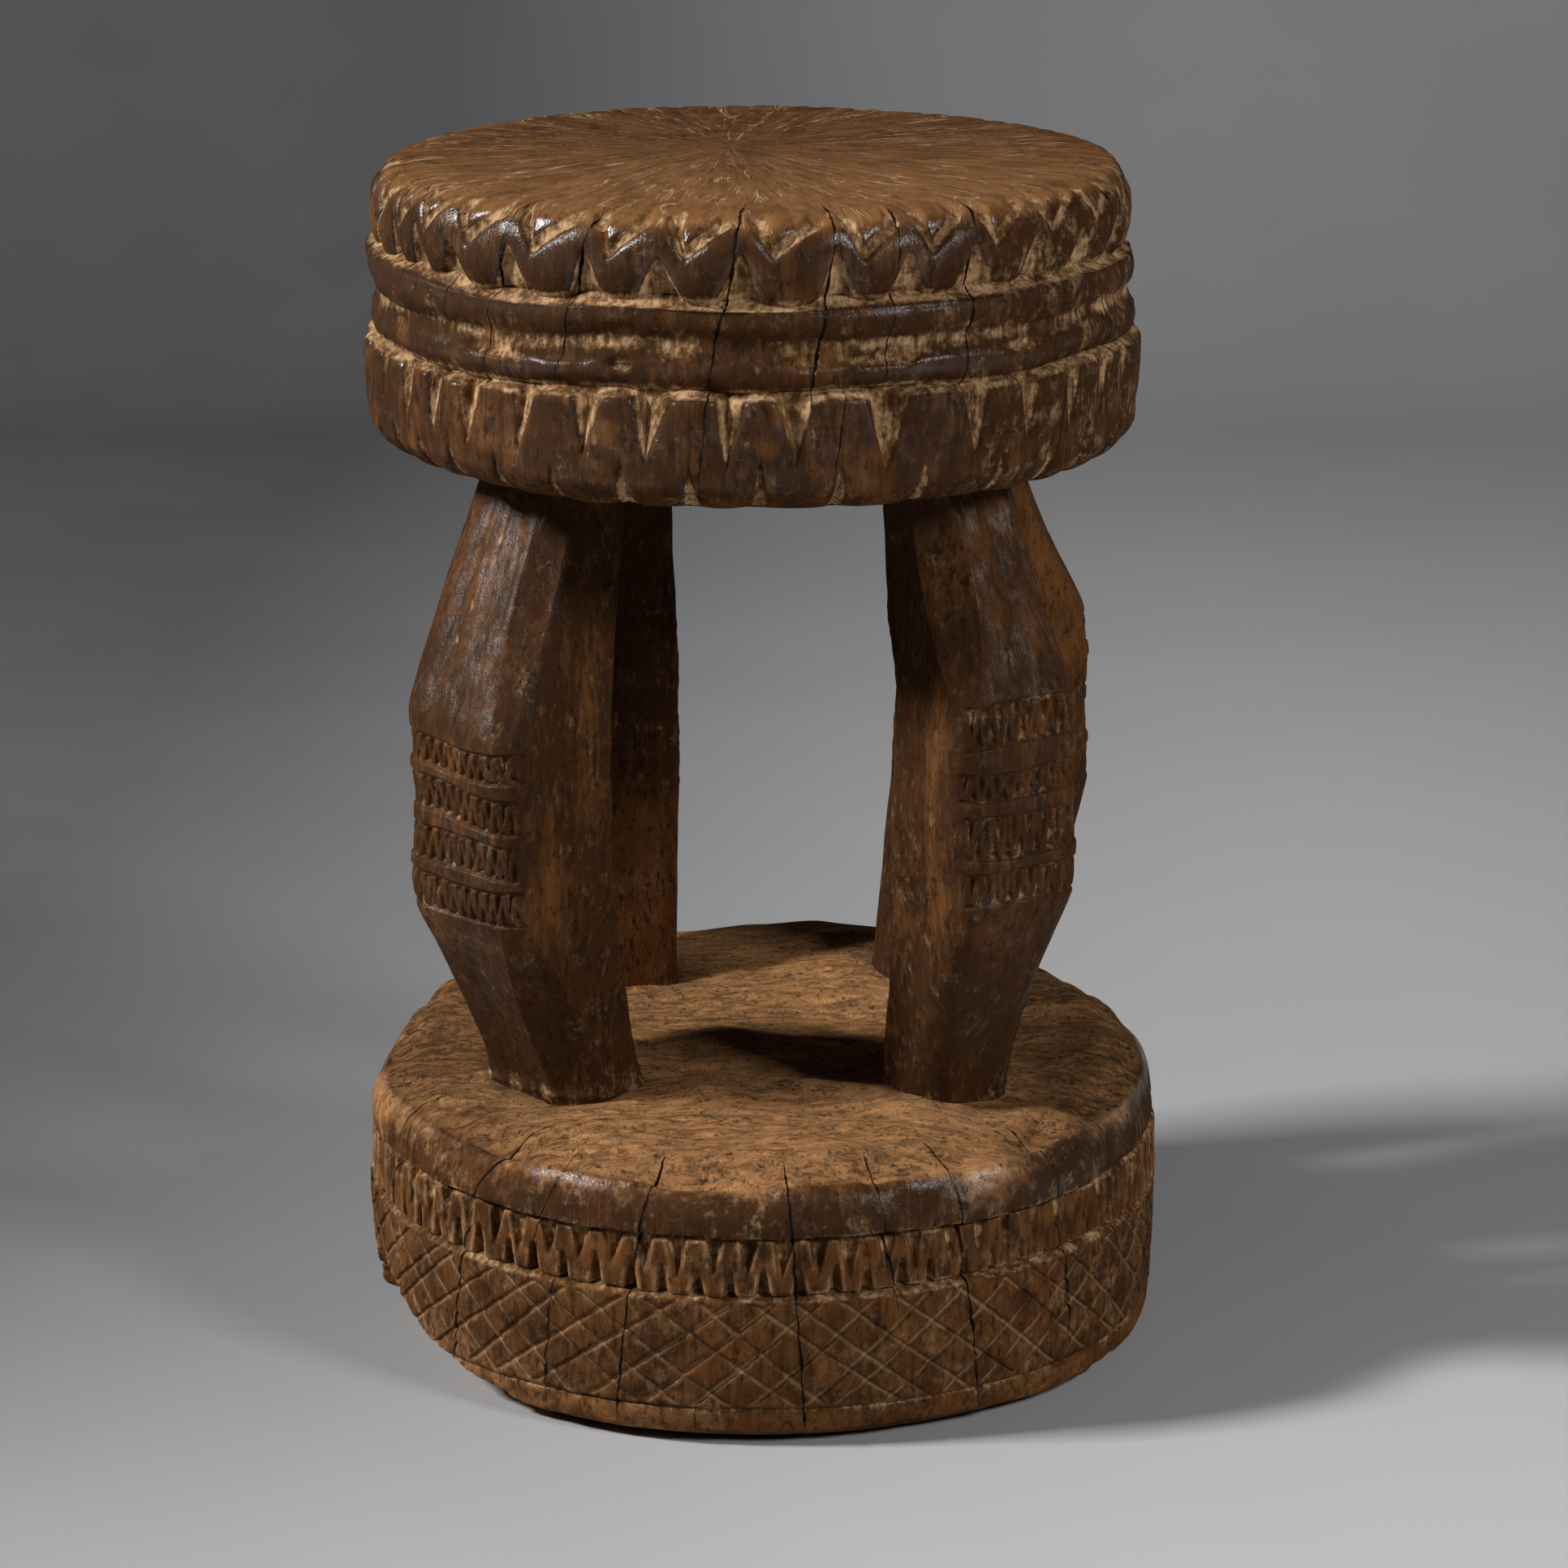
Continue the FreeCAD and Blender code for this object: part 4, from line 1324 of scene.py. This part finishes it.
@dataclass
class BaseField(BaseBand):
    """The base's lower wall: a field of crossing scored lines over a foot band, broken away at the left."""

    # The half section, from the middle of the underside to inside the ribbon.
    first: tuple[float, float] = (3.0, 0.0)
    runs: Runs = (
        (117.0, 0.0, 0.0, 28.0), (131.0, 5.0, 1.2, 1.7), (133.0, 12.2, 0.4, 0.9), (131.7, 13.4, 0.0, 0.7),
        (133.5, 14.8, 0.2, 0.7), (134.8, 50.6, 0.4, 0.78), (132.6, 52.6, 0.3, 0.8), (129.0, 54.0, 0.0, 1.4),
        (3.0, 54.4, 0.0, 64.0),
    )
    # The scored field: its edges, the lines each way, their slant sideways for each step up, and their depth.
    low: float = 14.5
    high: float = 51.5
    lines: int = 50
    slant: float = 1.27
    groove: float = 1.0
    # Height of the broken corner's upper edge round the left: angle and height.
    broken: Path = ((-93.0, 0.0), (-84.0, 33.0), (-62.0, 22.0), (-46.0, 11.0), (-36.0, 4.0), (-30.0, 0.0))
    break_inner: float = 108.0
    cover: float = 129.5
    cover_from: float = 40.0
    seed: int = 19
    grain: int = 81

    def break_corner(self) -> tuple[np.ndarray, np.ndarray, np.ndarray]:
        """The lower corner that broke away: rows between the underside and the break lie on a straight slant.

        The slant goes from the underside at break_inner to the wall at the break's height for each angle, and
        the rows keep their shares of the way along the section.

        Returns:
            Where the break is, and how far inwards and upwards it moves each point.
        """
        chance = 1.6 * drift((3, self.columns), (1.0, 18.0), self.grain + 3)[0]
        turns, heights = zip(*self.broken)
        edge = np.interp(self.angles, turns, heights)
        edge = np.maximum(edge + chance * ease(0.0, 8.0, edge), 0.0)
        line = np.stack([self.radius, self.height], axis=-1)
        gone = np.concatenate([[0.0], np.cumsum(np.hypot(*np.diff(line, axis=0).T))])
        wall = (self.radius > self.break_inner) & (self.height < self.high)
        first = np.interp(self.break_inner, self.radius[self.height <= 0.0], gone[self.height <= 0.0])
        last = np.interp(edge, self.height[wall], gone[wall])
        share = (gone[:, None] - first) / (last - first)[None, :]
        reach = np.interp(edge, self.height[wall], self.radius[wall])
        slant_radius = self.break_inner + share * (reach - self.break_inner)[None, :]
        slant_height = share * edge[None, :]
        inside = (share > 0.0) & (share < 1.0) & (edge > 0.5)[None, :]
        weight = inside * ease(0.5, 5.0, edge)[None, :]
        in_by = weight * (self.radius[:, None] - slant_radius)
        up_by = weight * (slant_height - self.height[:, None])
        return soften(weight, (1.0, 1.5)), in_by, up_by

    def scores(self) -> tuple[np.ndarray, np.ndarray]:
        """Distances to the scored lines of both directions: straight lines on the unrolled wall.

        Returns:
            The signed distance to the nearest falling line and to the nearest rising line.
        """
        chance = np.random.default_rng(self.seed)
        middle = (self.low + self.high) / 2.0
        size = self.radius.max()
        found = []
        for way in (-1.0, 1.0):
            start = np.arange(self.lines) * 360.0 / self.lines + chance.uniform(-1.6, 1.6, self.lines)
            slope = way * self.slant * (1.0 + chance.uniform(-0.14, 0.14, self.lines))
            shift = np.degrees((self.height[:, None] - middle) * slope[None, :] / size)
            gap, _ = nearest(self.angles, start[None, :] + shift, np.full(self.shape[0], size))
            found.append(gap / math.hypot(1.0, self.slant))
        return found[0], found[1]

    def carve(self) -> tuple[np.ndarray, Fields]:
        """Scores the field and breaks the corner.

        Returns:
            The grid's places, and its fields.
        """
        height = self.height[:, None]
        angles = self.angles[None, :]
        slow, small, fibre = drifts(self.shape, self.grain, (14.0, 36.0), (3.0, 4.0), (20.0, 1.6))
        down, up = self.scores()
        scored = ease(self.low - 0.5, self.low + 1.5, height) * ease(self.high - 0.4, self.high - 2.0, height)
        bruised, in_by, up_by = self.break_corner()
        whole = 1.0 - bruised
        cuts = sum(hold(1.0 - np.abs(gap) / 1.3) for gap in (down, up))
        wall = self.wall * ease(1.0, 5.0, height) * ~self.hidden
        grown = (0.45 * slow + 0.16 * small) * wall * whole + 0.55 * fibre * bruised
        grown = grown - self.groove * np.minimum(cuts, 1.2) * scored * whole
        dents = ease(0.7, 1.7, drift(self.shape, (4.0, 9.0), self.grain + 4))
        grown = grown - dents * lump(height, 8.0, 4.5) * wall
        fuller = 1.6 * lump(turn_gap(angles, 62.0), 0.0, 30.0) * lump(height, 6.0, 10.0) * wall
        line = 0.65 * lump(height, 13.2, 1.0) + 0.6 * ease(50.2, 51.6, height)
        dust = hold(line * wall * (0.85 + 0.25 * small))
        foot = ease(13.0, 11.5, height)
        fields = {
            "dust": np.maximum(dust * whole, 0.30 * bruised),
            "gloss": hold(0.34 - dust - 0.2 * foot) * whole,
            "pale": hold(0.18 + 0.10 * slow + 0.12 * foot + 0.30 * bruised),
            "stain": hold((0.2 + 0.3 * slow) * whole - 0.35 * foot),
            "warm": hold(0.30 + 0.15 * foot + 0.4 * bruised),
            "scored": scored * whole, "score_down": down, "score_up": up,
        }
        points = self.points(in_by, grown + fuller, up_by)
        points[..., 2] = np.maximum(points[..., 2], 0.0)
        return points, fields


@dataclass(frozen=True)
class Patch:
    """A worn or stained patch on a leg, or one that paints light or shade: what it does, its place round and
    up it, its size and its force.
    """

    mark: Mark
    along: float
    height: float
    wide: float
    tall: float
    force: float


@dataclass(frozen=True)
class Facet:
    """A flat hewn along a leg: the turn of its face from the outer face, its ends, and its depth half way."""

    turn: float
    low: float
    high: float
    depth: float


def rotation(angle: float) -> np.ndarray:
    """The matrix that turns rows of (x, y) anticlockwise by an angle in degrees."""
    turn = math.radians(angle)
    return np.array([[math.cos(turn), math.sin(turn)], [-math.sin(turn), math.cos(turn)]])


@dataclass
class Leg:
    """A bowed leg: it leans out to an upright knee with a carved panel, and back in to the seat."""

    place: Place
    bearing: float
    reach: float
    width: float
    knee: float
    # Radius of the outer corners at the knee, left and right as seen from outside.
    corners: tuple[float, float]
    # The panel's rows, from the top one down: upper and lower edge.
    rows: Path
    # Where the rows start and end round the leg, from the middle of the outer face.
    span: tuple[float, float]
    pitch: float
    facets: tuple[Facet, ...]
    patches: tuple[Patch, ...]
    seed: int
    # How far the leg is turned about an upright line, and that line's distance from the inner face's ends.
    twist: float = 0.0
    pivot: float = 25.5
    # How far the foot stands in from the reach.
    foot_in: float = 0.0
    slot: str = "leg_wood"
    foot_height: float = 95.0
    top_height: float = 308.0
    sunk_ends: float = 4.0
    panel: float = 62.0
    hollow: float = 11.0
    foot_thick: float = 34.5
    knee_thick: float = 51.0
    top_thick: float = 25.0
    foot_taper: float = 8.0
    top_taper: float = 12.0
    foot_round: float = 14.0
    top_round: tuple[float, float] = (11.0, 11.0)
    inner_round: float = 5.0
    # How strongly the outer face is waxed.
    waxed: float = 0.34
    # Steps up the leg: below the panel, over it and above it.
    levels: tuple[int, int, int] = (72, 196, 74)
    # Columns on half the inner face, an inner corner, a side, an outer corner and the outer face.
    share: tuple[int, int, int, int, int] = (9, 6, 32, 46, 90)

    def stations(self, height: np.ndarray) -> tuple[np.ndarray, ...]:
        """The section's sizes at each height: straight runs between foot, knee and top, eased at the knees.

        Args:
            height: the rows' heights.

        Returns:
            The inner and outer distance from the axis, half the width and the two outer corners' radius.
        """
        low = self.foot_height + self.knee
        at = [self.foot_height, low, low + self.panel, self.top_height]
        fine = np.linspace(height[0] - 20.0, height[-1] + 20.0, 600)
        ends, spread = 24, 7.0
        bell = lump(np.arange(-ends, ends + 1.0), 0.0, spread)
        bell = bell / bell.sum()

        def eased(values: list[float]) -> np.ndarray:
            """One size at every row, by straight runs blurred by a bell.

            Args:
                values: the size at the foot, at both ends of the knee and at the top.

            Returns:
                The size at every row.
            """
            line = np.convolve(np.interp(fine, at, values), bell, "same")
            line[:ends], line[-ends:] = line[ends], line[-ends - 1]
            return np.interp(height, fine, line)

        inside = self.reach + self.hollow
        inner = eased([self.reach - self.foot_in, inside, inside, self.reach])
        thick = eased([self.foot_thick, self.knee_thick, self.knee_thick, self.top_thick])
        wide = eased([self.width - self.foot_taper, self.width, self.width, self.width - self.top_taper])
        rounds = zip(self.corners, self.top_round)
        left, right = (eased([self.foot_round, knee, knee, top]) for knee, top in rounds)
        return inner, inner + thick, wide / 2.0, left, right

    def sections(self, height: np.ndarray) -> np.ndarray:
        """Points round every section: a rectangle with rounded corners, from the middle of its inner side.

        Args:
            height: the rows' heights.

        Returns:
            Rows by columns by (sideways, towards the axis).
        """
        near, far, half, left, right = (values[:, None] for values in self.stations(height))
        small = self.inner_round
        parts = []

        def straight(x0: Number, y0: Number, x1: Number, y1: Number, count: int) -> None:
            """A straight run, without its last point."""
            t = np.arange(count)[None, :] / count
            parts.append(np.stack(np.broadcast_arrays(x0 + (x1 - x0) * t, y0 + (y1 - y0) * t), axis=-1))

        def corner(x: Number, y: Number, radius: Number, start: float, count: int) -> None:
            """A quarter turn, without its last point.

            Args:
                x: where its middle lies sideways.
                y: where its middle lies towards the axis.
                radius: its radius.
                start: the angle at which it starts.
                count: how many points it has.
            """
            t = np.radians(start + 90.0 * np.arange(count) / count)[None, :]
            turned = np.broadcast_arrays(x + radius * np.cos(t), y + radius * np.sin(t))
            parts.append(np.stack(turned, axis=-1))

        inner, tight, side, loose, outer = self.share
        zero = np.zeros_like(near)
        straight(zero, -near, -half + small, -near, inner)
        corner(-half + small, -near - small, small, 90.0, tight)
        straight(-half, -near - small, -half, -far + left, side)
        corner(-half + left, -far + left, left, 180.0, loose)
        straight(-half + left, -far, half - right, -far, outer)
        corner(half - right, -far + right, right, 270.0, loose)
        straight(half, -far + right, half, -near - small, side)
        corner(half - small, -near - small, small, 0.0, tight)
        straight(half - small, -near, zero, -near, inner)
        return np.concatenate(parts, axis=1)

    def hew(self, flat: np.ndarray, height: np.ndarray) -> np.ndarray:
        """Cuts the flats: what stands past a flat's plane is moved back on to it.

        Args:
            flat: the sections' points.
            height: the rows' heights.

        Returns:
            The cut sections.
        """
        for facet in self.facets:
            turn = math.radians(facet.turn)
            face = np.array([math.sin(turn), -math.cos(turn)])
            ahead = flat @ face
            share = hold((height - facet.low) / (facet.high - facet.low))
            limit = ahead.max(axis=1) - facet.depth * np.sin(np.pi * share)
            flat = flat - np.maximum(ahead - limit[:, None], 0.0)[..., None] * face
        return flat

    def carve(self, along: np.ndarray, height: np.ndarray) -> np.ndarray:
        """The knee panel: rows let in between scored lines, with notches from above and below by turns.

        Args:
            along: distance round the knee from the middle of the outer face, one per column.
            height: the rows' heights, as a column.

        Returns:
            The depth of the carving.
        """
        chance = np.random.default_rng(self.seed)
        sunk = np.zeros((height.shape[0], along.shape[1]))
        for high, low in self.rows:
            left = self.span[0] + chance.uniform(-2.0, 2.0)
            right = self.span[1] + chance.uniform(-2.0, 2.0)
            tilt, wave = chance.uniform(-0.02, 0.02), chance.uniform(0.0, 6.0)
            level = height - tilt * along - 0.5 * np.sin(along / 9.0 + wave)
            span = ease(left - 0.6, left + 0.6, along) * ease(right + 0.6, right - 0.6, along)
            row = ease(low - 0.4, low + 0.4, level) * ease(high + 0.4, high - 0.4, level) * span
            for edge in (low, high):
                sunk = np.maximum(sunk, np.maximum(1.5 - 1.5 * np.abs(level - edge), 0.0) * span)
            sunk = np.maximum(sunk, 0.5 * row)
            for spot in np.arange(left + 2.0, right - 2.0, self.pitch):
                here = along - spot - chance.uniform(-0.5, 0.5)
                half = self.pitch * chance.uniform(0.32, 0.44)
                deep = chance.uniform(2.0, 2.8)
                point = low + (high - low) * chance.uniform(0.10, 0.30)
                ends = ((-half, high), (-0.4, point), (0.4, point), (half, high))
                sunk = np.maximum(sunk, Chip(ends, (1.7, 0.6, 1.7, 3.0), deep).sink(here, level) * span)
                point = high - (high - low) * chance.uniform(0.16, 0.38)
                ends = ((-half, low), (half, low), (0.4, point), (-0.4, point))
                other = here - self.pitch * 0.5
                sunk = np.maximum(sunk, Chip(ends, (3.0, 1.7, 0.7, 1.7), deep).sink(other, level) * span)
        return sunk

    def build(self, material: bpy.types.Material) -> bpy.types.Object:
        """Carves the leg and dresses it.

        Args:
            material: its finish.

        Returns:
            The piece.
        """
        ends = (self.foot_height - self.sunk_ends, self.rows[-1][1] - 2.0, self.rows[0][0] + 2.0)
        runs = zip(ends, (*ends[1:], self.top_height + self.sunk_ends), self.levels)
        height = np.concatenate([np.linspace(low, high, count, endpoint=False) for low, high, count in runs])
        flat = self.hew(self.sections(height), height)
        step = np.roll(flat, -1, axis=1) - np.roll(flat, 1, axis=1)
        normal = np.stack([step[..., 1], -step[..., 0]], axis=-1)
        normal = normal / np.maximum(np.linalg.norm(normal, axis=-1, keepdims=True), 1e-6)
        knee = flat[int(np.argmin(np.abs(height - self.foot_height - self.knee - self.panel / 2.0)))]
        gone = np.concatenate([[0.0], np.cumsum(np.linalg.norm(np.diff(knee, axis=0), axis=1))])
        along = (gone - gone[sum(self.share[:4]) + self.share[4] // 2])[None, :]
        level = height[:, None]
        sunk = soften(self.carve(along, level), (0.6, 0.5))
        shape = sunk.shape
        facet, small, slow = drifts(shape, self.seed + 100, (18.0, 13.0), (3.0, 3.0), (40.0, 30.0))
        foot = np.exp(-np.abs(level - self.foot_height) / 3.5)
        grown = 0.4 * facet + 0.09 * small + 0.6 * slow + 1.8 * foot - sunk
        grown = grown + np.exp(-np.abs(level - self.top_height) / 4.0)
        flat = flat + normal * grown[..., None]
        middle = np.array([0.0, -self.reach - self.pivot])
        flat = (flat - middle) @ rotation(self.twist) + middle
        upright = np.broadcast_to(level, shape)[..., None]
        points = np.concatenate([flat @ rotation(self.bearing), upright], axis=-1)
        floor = ease(0.6, 1.8, sunk)
        rubbed = ease(0.2, 0.9, soften(sunk, (2.5, 2.5)) - sunk)
        dust = hold((0.46 * floor + 0.5 * foot) * (0.9 + 0.2 * small))
        outer = lump(along, 0.0, 40.0)
        # The patches' marks, some of which are painted light and shade.
        worn = {mark: np.zeros(shape) for mark in Mark}
        for patch in self.patches:
            spot = lump(along + 1.5 * slow, patch.along, patch.wide)
            spot = spot * lump(level + 2.0 * facet, patch.height, patch.tall)
            worn[patch.mark] = worn[patch.mark] + patch.force * spot
        shade = 0.75 - 0.35 * outer + 0.12 * slow + 0.6 * ease(165.0, 130.0, level)
        fields = {
            "dust": dust,
            "gloss": hold(0.24 + self.waxed * outer + 0.3 * rubbed - dust),
            # Pale on the rubbed edges of the panel's cuts is partly wear and partly a painted highlight; the
            # patches add painted light and shade on some legs.
            "pale": hold(0.02 + 0.05 * slow + 0.5 * rubbed + worn[Mark.PALE], 1.2),
            "stain": hold(shade + worn[Mark.STAIN] - worn[Mark.WARM], 1.6),
            "warm": hold(0.10 + 0.10 * facet + worn[Mark.WARM] + 0.3 * floor, 1.6),
            "crack": FAR,
            "crack_wide": 0.0,
        }
        name = f"leg_{self.place.value}"
        return settle(lay_shell(f"{name}_carved", points, fields), name, material)


def carved_legs() -> list[Leg]:
    """The four legs, each with its own stance, panel, flats and wear, and some with painted light and shade.

    Returns:
        The legs, anticlockwise from the front left one.
    """
    even = ((57.0, 47.0), (41.5, 31.0), (26.0, 15.5), (10.5, 0.0))
    # Painted light and shade for the back left leg: the warm and pale patches low down stand for the light
    # that reaches its lower part, and the stain high up for the shade under the seat.
    sides = ((Mark.WARM, 125.0, 38.0, 1.5), (Mark.PALE, 118.0, 34.0, 0.60), (Mark.STAIN, 275.0, 55.0, 1.3))
    nose = (Facet(-42.0, 232.0, 312.0, 4.5), Facet(42.0, 236.0, 312.0, 3.0), Facet(40.0, 92.0, 170.0, 3.0))
    return [
        Leg(
            place=Place.FRONT_LEFT, bearing=-60.0, reach=64.0, width=62.0, knee=70.0, corners=(19.0, 10.0),
            rows=((219.5, 210.7), (205.3, 194.5), (188.6, 177.8), (172.4, 161.6)),
            span=(-38.0, 29.0), pitch=5.0,
            facets=(
                Facet(36.0, 216.0, 310.0, 1.6), Facet(45.0, 90.0, 166.0, 4.0), Facet(-40.0, 90.0, 170.0, 3.0),
            ),
            patches=(
                Patch(Mark.STAIN, -22.0, 246.0, 8.0, 6.0, 0.9),
                Patch(Mark.STAIN, 46.0, 208.0, 9.0, 24.0, 0.8),
                Patch(Mark.WARM, 57.0, 222.0, 7.0, 40.0, 0.5),
                Patch(Mark.WARM, 40.0, 190.0, 3.0, 30.0, 0.6),
                Patch(Mark.WARM, -6.0, 270.0, 12.0, 20.0, 0.35),
                Patch(Mark.PALE, 2.0, 281.0, 1.4, 1.4, 1.2),
                Patch(Mark.PALE, -4.0, 262.0, 1.1, 1.3, 1.2),
                Patch(Mark.PALE, -8.0, 250.0, 1.3, 1.0, 1.0),
            ),
            seed=61, twist=13.0, foot_in=4.0, knee_thick=48.0, hollow=12.5, foot_thick=32.0, foot_taper=12.0,
            top_taper=15.0, top_round=(11.0, 18.0),
        ),
        Leg(
            place=Place.FRONT_RIGHT, bearing=48.0, reach=65.0, width=51.0, knee=79.0, corners=(9.0, 12.0),
            rows=((238.0, 225.0), (215.5, 207.2), (201.0, 187.6), (182.0, 172.0)),
            span=(-23.0, 33.0), pitch=5.7,
            facets=nose,
            patches=(
                Patch(Mark.STAIN, -6.0, 242.5, 5.0, 4.0, 1.2),
                Patch(Mark.STAIN, 10.0, 243.5, 7.0, 4.0, 1.2),
                Patch(Mark.STAIN, -8.0, 135.0, 18.0, 30.0, 0.7),
                # Painted shade: the top of the left side is darkened where the seat's shadow falls.
                Patch(Mark.STAIN, -62.0, 285.0, 24.0, 40.0, 1.0),
                Patch(Mark.WARM, -34.0, 222.0, 6.0, 20.0, 0.8),
                Patch(Mark.WARM, -37.0, 172.0, 4.0, 18.0, 0.4),
                Patch(Mark.WARM, -58.0, 135.0, 5.0, 22.0, 0.4),
                Patch(Mark.PALE, -36.0, 186.0, 3.0, 9.0, 0.3),
            ),
            seed=62, twist=-13.0, knee_thick=41.0, hollow=16.0, foot_thick=30.0, foot_taper=12.0, waxed=0.27,
        ),
        Leg(
            place=Place.BACK_RIGHT, bearing=128.0, reach=67.0, width=61.0, knee=78.0, corners=(19.0, 19.0),
            rows=tuple((175.0 + high, 175.0 + low) for high, low in even),
            span=(-32.0, 32.0), pitch=5.4,
            facets=nose,
            patches=(
                Patch(Mark.WARM, -40.0, 250.0, 16.0, 50.0, 0.6),
                Patch(Mark.STAIN, 20.0, 140.0, 16.0, 30.0, 0.4),
            ),
            seed=63, foot_taper=4.0, waxed=0.0,
        ),
        Leg(
            place=Place.BACK_LEFT, bearing=-140.0, reach=70.0, width=58.0, knee=72.0, corners=(19.0, 19.0),
            rows=tuple((169.0 + high, 169.0 + low) for high, low in even),
            span=(-31.0, 31.0), pitch=5.2,
            facets=nose,
            # Painted light low down and painted shade high up on its sides.
            patches=tuple(
                Patch(mark, side, height, 45.0, tall, force)
                for mark, height, tall, force in sides
                for side in (108.0, -108.0)
            ),
            seed=64, twist=-24.0, hollow=7.0, knee_thick=55.0,
        ),
    ]


@dataclass(frozen=True)
class PlainPaper:
    """The studio's pale paper, with the faintest of clouds, and painted shade that greys it to the back and
    to the left.
    """

    name: str = "studio_paper"
    light: Colour = (0.680, 0.680, 0.685, 1.0)
    painted_shade_grey: Colour = (0.060, 0.060, 0.061, 1.0)

    def make(self) -> bpy.types.Material:
        """Lays out the paper's finish: pale in front, and greyer to the back and to the left, which is
        painted shade where the light falls off.

        Returns:
            The material.
        """
        bench = Bench(self.name)
        side, back = (bench.node("ShaderNodeSeparateXYZ", axis, {0: bench.where}) for axis in "XY")
        cloud = bench.noise(bench.where, 5.0, 3.0).rise(0.3, 0.7, -0.012, 0.012)
        tooth = bench.noise(bench.where, 900.0, 2.0) * 0.04
        # Painted shade: the paper's colour darkens towards the left and the back, as if the light fell off
        # there.
        far = (side.rise(-0.42, 0.30, 0.10, 0.75) * back.rise(0.5, 2.0, 1.0, 0.58)).most(0.135)
        near = side.rise(-0.50, 0.30, 0.58, 0.94)
        pale = far + back.rise(-0.50, 0.15, 1.0, 0.0) * (near - far)
        colour = bench.blend(pale + cloud, self.painted_shade_grey, self.light)
        return bench.finish(colour, back.rise(-1.0, 1.0, 0.88, 0.92), tooth, 0.1)


@dataclass
class Studio:
    """The pale floor and backdrop, the soft lamps and the camera."""

    eye: Triple = (7.02, -1718.96, 671.09)
    pitch: float = 74.25
    frame_width: float = 1932.0
    focal_pixels: float = 6500.0
    sensor: float = 36.0
    half_width: float = 4500.0
    front: float = -5000.0
    back: float = 1450.0
    bend: float = 500.0
    wall: float = 2600.0
    # Height in metres at which the lamps look.
    aim: float = 0.2

    def build(self) -> None:
        """Makes everything round the stool."""
        self.lay_paper()
        self.hang_lamps()
        self.set_camera()

    def lay_paper(self) -> None:
        """The paper: a straight run on the floor, a quarter turn and a straight run up."""
        wide, bent, tall = 30, 25, 10
        turn = np.linspace(0.0, math.pi / 2.0, bent)
        floor = np.stack([np.linspace(self.front, self.back, wide), np.zeros(wide)], axis=-1)
        curve = np.stack([self.back + self.bend * np.sin(turn), self.bend * (1.0 - np.cos(turn))], axis=-1)
        up = np.linspace(self.bend, self.wall, tall)
        rise = np.stack([np.full(tall, self.back + self.bend), up], axis=-1)
        line = np.concatenate([floor, curve[1:], rise[1:]])
        sides = np.linspace(-self.half_width, self.half_width, wide)
        grid = np.broadcast_arrays(sides[None, :], line[:, :1], line[:, 1:])
        points = np.stack(grid, axis=-1)
        index = np.arange(points[..., 0].size).reshape(points.shape[:2])
        corners = [index[:-1, :-1], index[:-1, 1:], index[1:, 1:], index[1:, :-1]]
        faces = np.stack(corners, axis=-1).reshape(-1, 4)
        mesh = bpy.data.meshes.new("studio_floor")
        mesh.from_pydata((points.reshape(-1, 3) * MM).tolist(), [], faces.tolist())
        mesh.polygons.foreach_set("use_smooth", np.ones(len(mesh.polygons), dtype=bool))
        mesh.materials.append(PlainPaper().make())
        floor_piece = bpy.data.objects.new("studio_floor", mesh)
        bpy.context.scene.collection.objects.link(floor_piece)

    def lamp(self, name: str, turn: float, lift: float, away: float, size: float, power: float) -> None:
        """Hangs one square soft lamp that looks at the middle of the stool.

        Args:
            name: the lamp's name.
            turn: its angle round the stool, from the front.
            lift: its angle above the level.
            away: its distance in metres.
            size: its side in metres.
            power: its power in watts.
        """
        data = bpy.data.lights.new(name, "AREA")
        data.shape = "SQUARE"
        data.size = size
        data.energy = power
        lamp = bpy.data.objects.new(name, data)
        a, e = math.radians(turn), math.radians(lift)
        level = away * math.cos(e)
        lamp.location = (level * math.sin(a), -level * math.cos(a), away * math.sin(e) + self.aim)
        lamp.rotation_euler = (math.pi / 2.0 - e, 0.0, a)
        bpy.context.scene.collection.objects.link(lamp)

    def hang_lamps(self) -> None:
        """A soft key from the left and front, a weaker one from the right, and a little light all round."""
        self.lamp("key", turn=-77.0, lift=35.0, away=2.0, size=0.30, power=48.0)
        self.lamp("fill", turn=48.0, lift=31.0, away=2.5, size=0.5, power=27.0)
        world = bpy.data.worlds.new("studio_air")
        world.use_nodes = True
        air = world.node_tree.nodes["Background"]
        air.inputs["Color"].default_value = (1.0, 1.0, 1.0, 1.0)
        air.inputs["Strength"].default_value = 0.01
        bpy.context.scene.world = world

    def set_camera(self) -> None:
        """A long lens, a little above the seat and looking down at the stool."""
        data = bpy.data.cameras.new("camera")
        data.sensor_width = self.sensor
        data.lens = self.sensor * self.focal_pixels / self.frame_width
        data.clip_end = 50.0
        camera = bpy.data.objects.new("camera", data)
        camera.location = tuple(v * MM for v in self.eye)
        camera.rotation_euler = (math.radians(self.pitch), 0.0, 0.0)
        bpy.context.scene.collection.objects.link(camera)
        bpy.context.scene.camera = camera


def main() -> None:
    """Builds the stool's members in order, then the studio."""
    logging.basicConfig(level=logging.INFO, format="%(name)s %(message)s")
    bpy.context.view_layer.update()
    bpy.context.scene.view_settings.view_transform = "Standard"
    seat_wood = SeatWood("seat_wood").make()
    base_wood = BaseWood("base_wood").make()
    leg_wood = OldWood("leg_wood", waxed=0.30, grit=0.22).make()
    seat = (
        SeatRim("seat_rim", columns=1500, edge=114.0),
        SeatRidges("seat_ridges", columns=1500),
        SeatTeeth("seat_teeth", columns=1500),
    )
    base = (
        BaseTop("base_top", columns=900, edge=124.0),
        BaseRibbon("base_ribbon", columns=1800),
        BaseField("base_field", columns=1200),
    )
    for band in seat:
        band.build(seat_wood)
    for band in base:
        band.build(base_wood)
    for leg in carved_legs():
        leg.build(leg_wood)
    Studio().build()


if __name__ == "__main__":
    main()
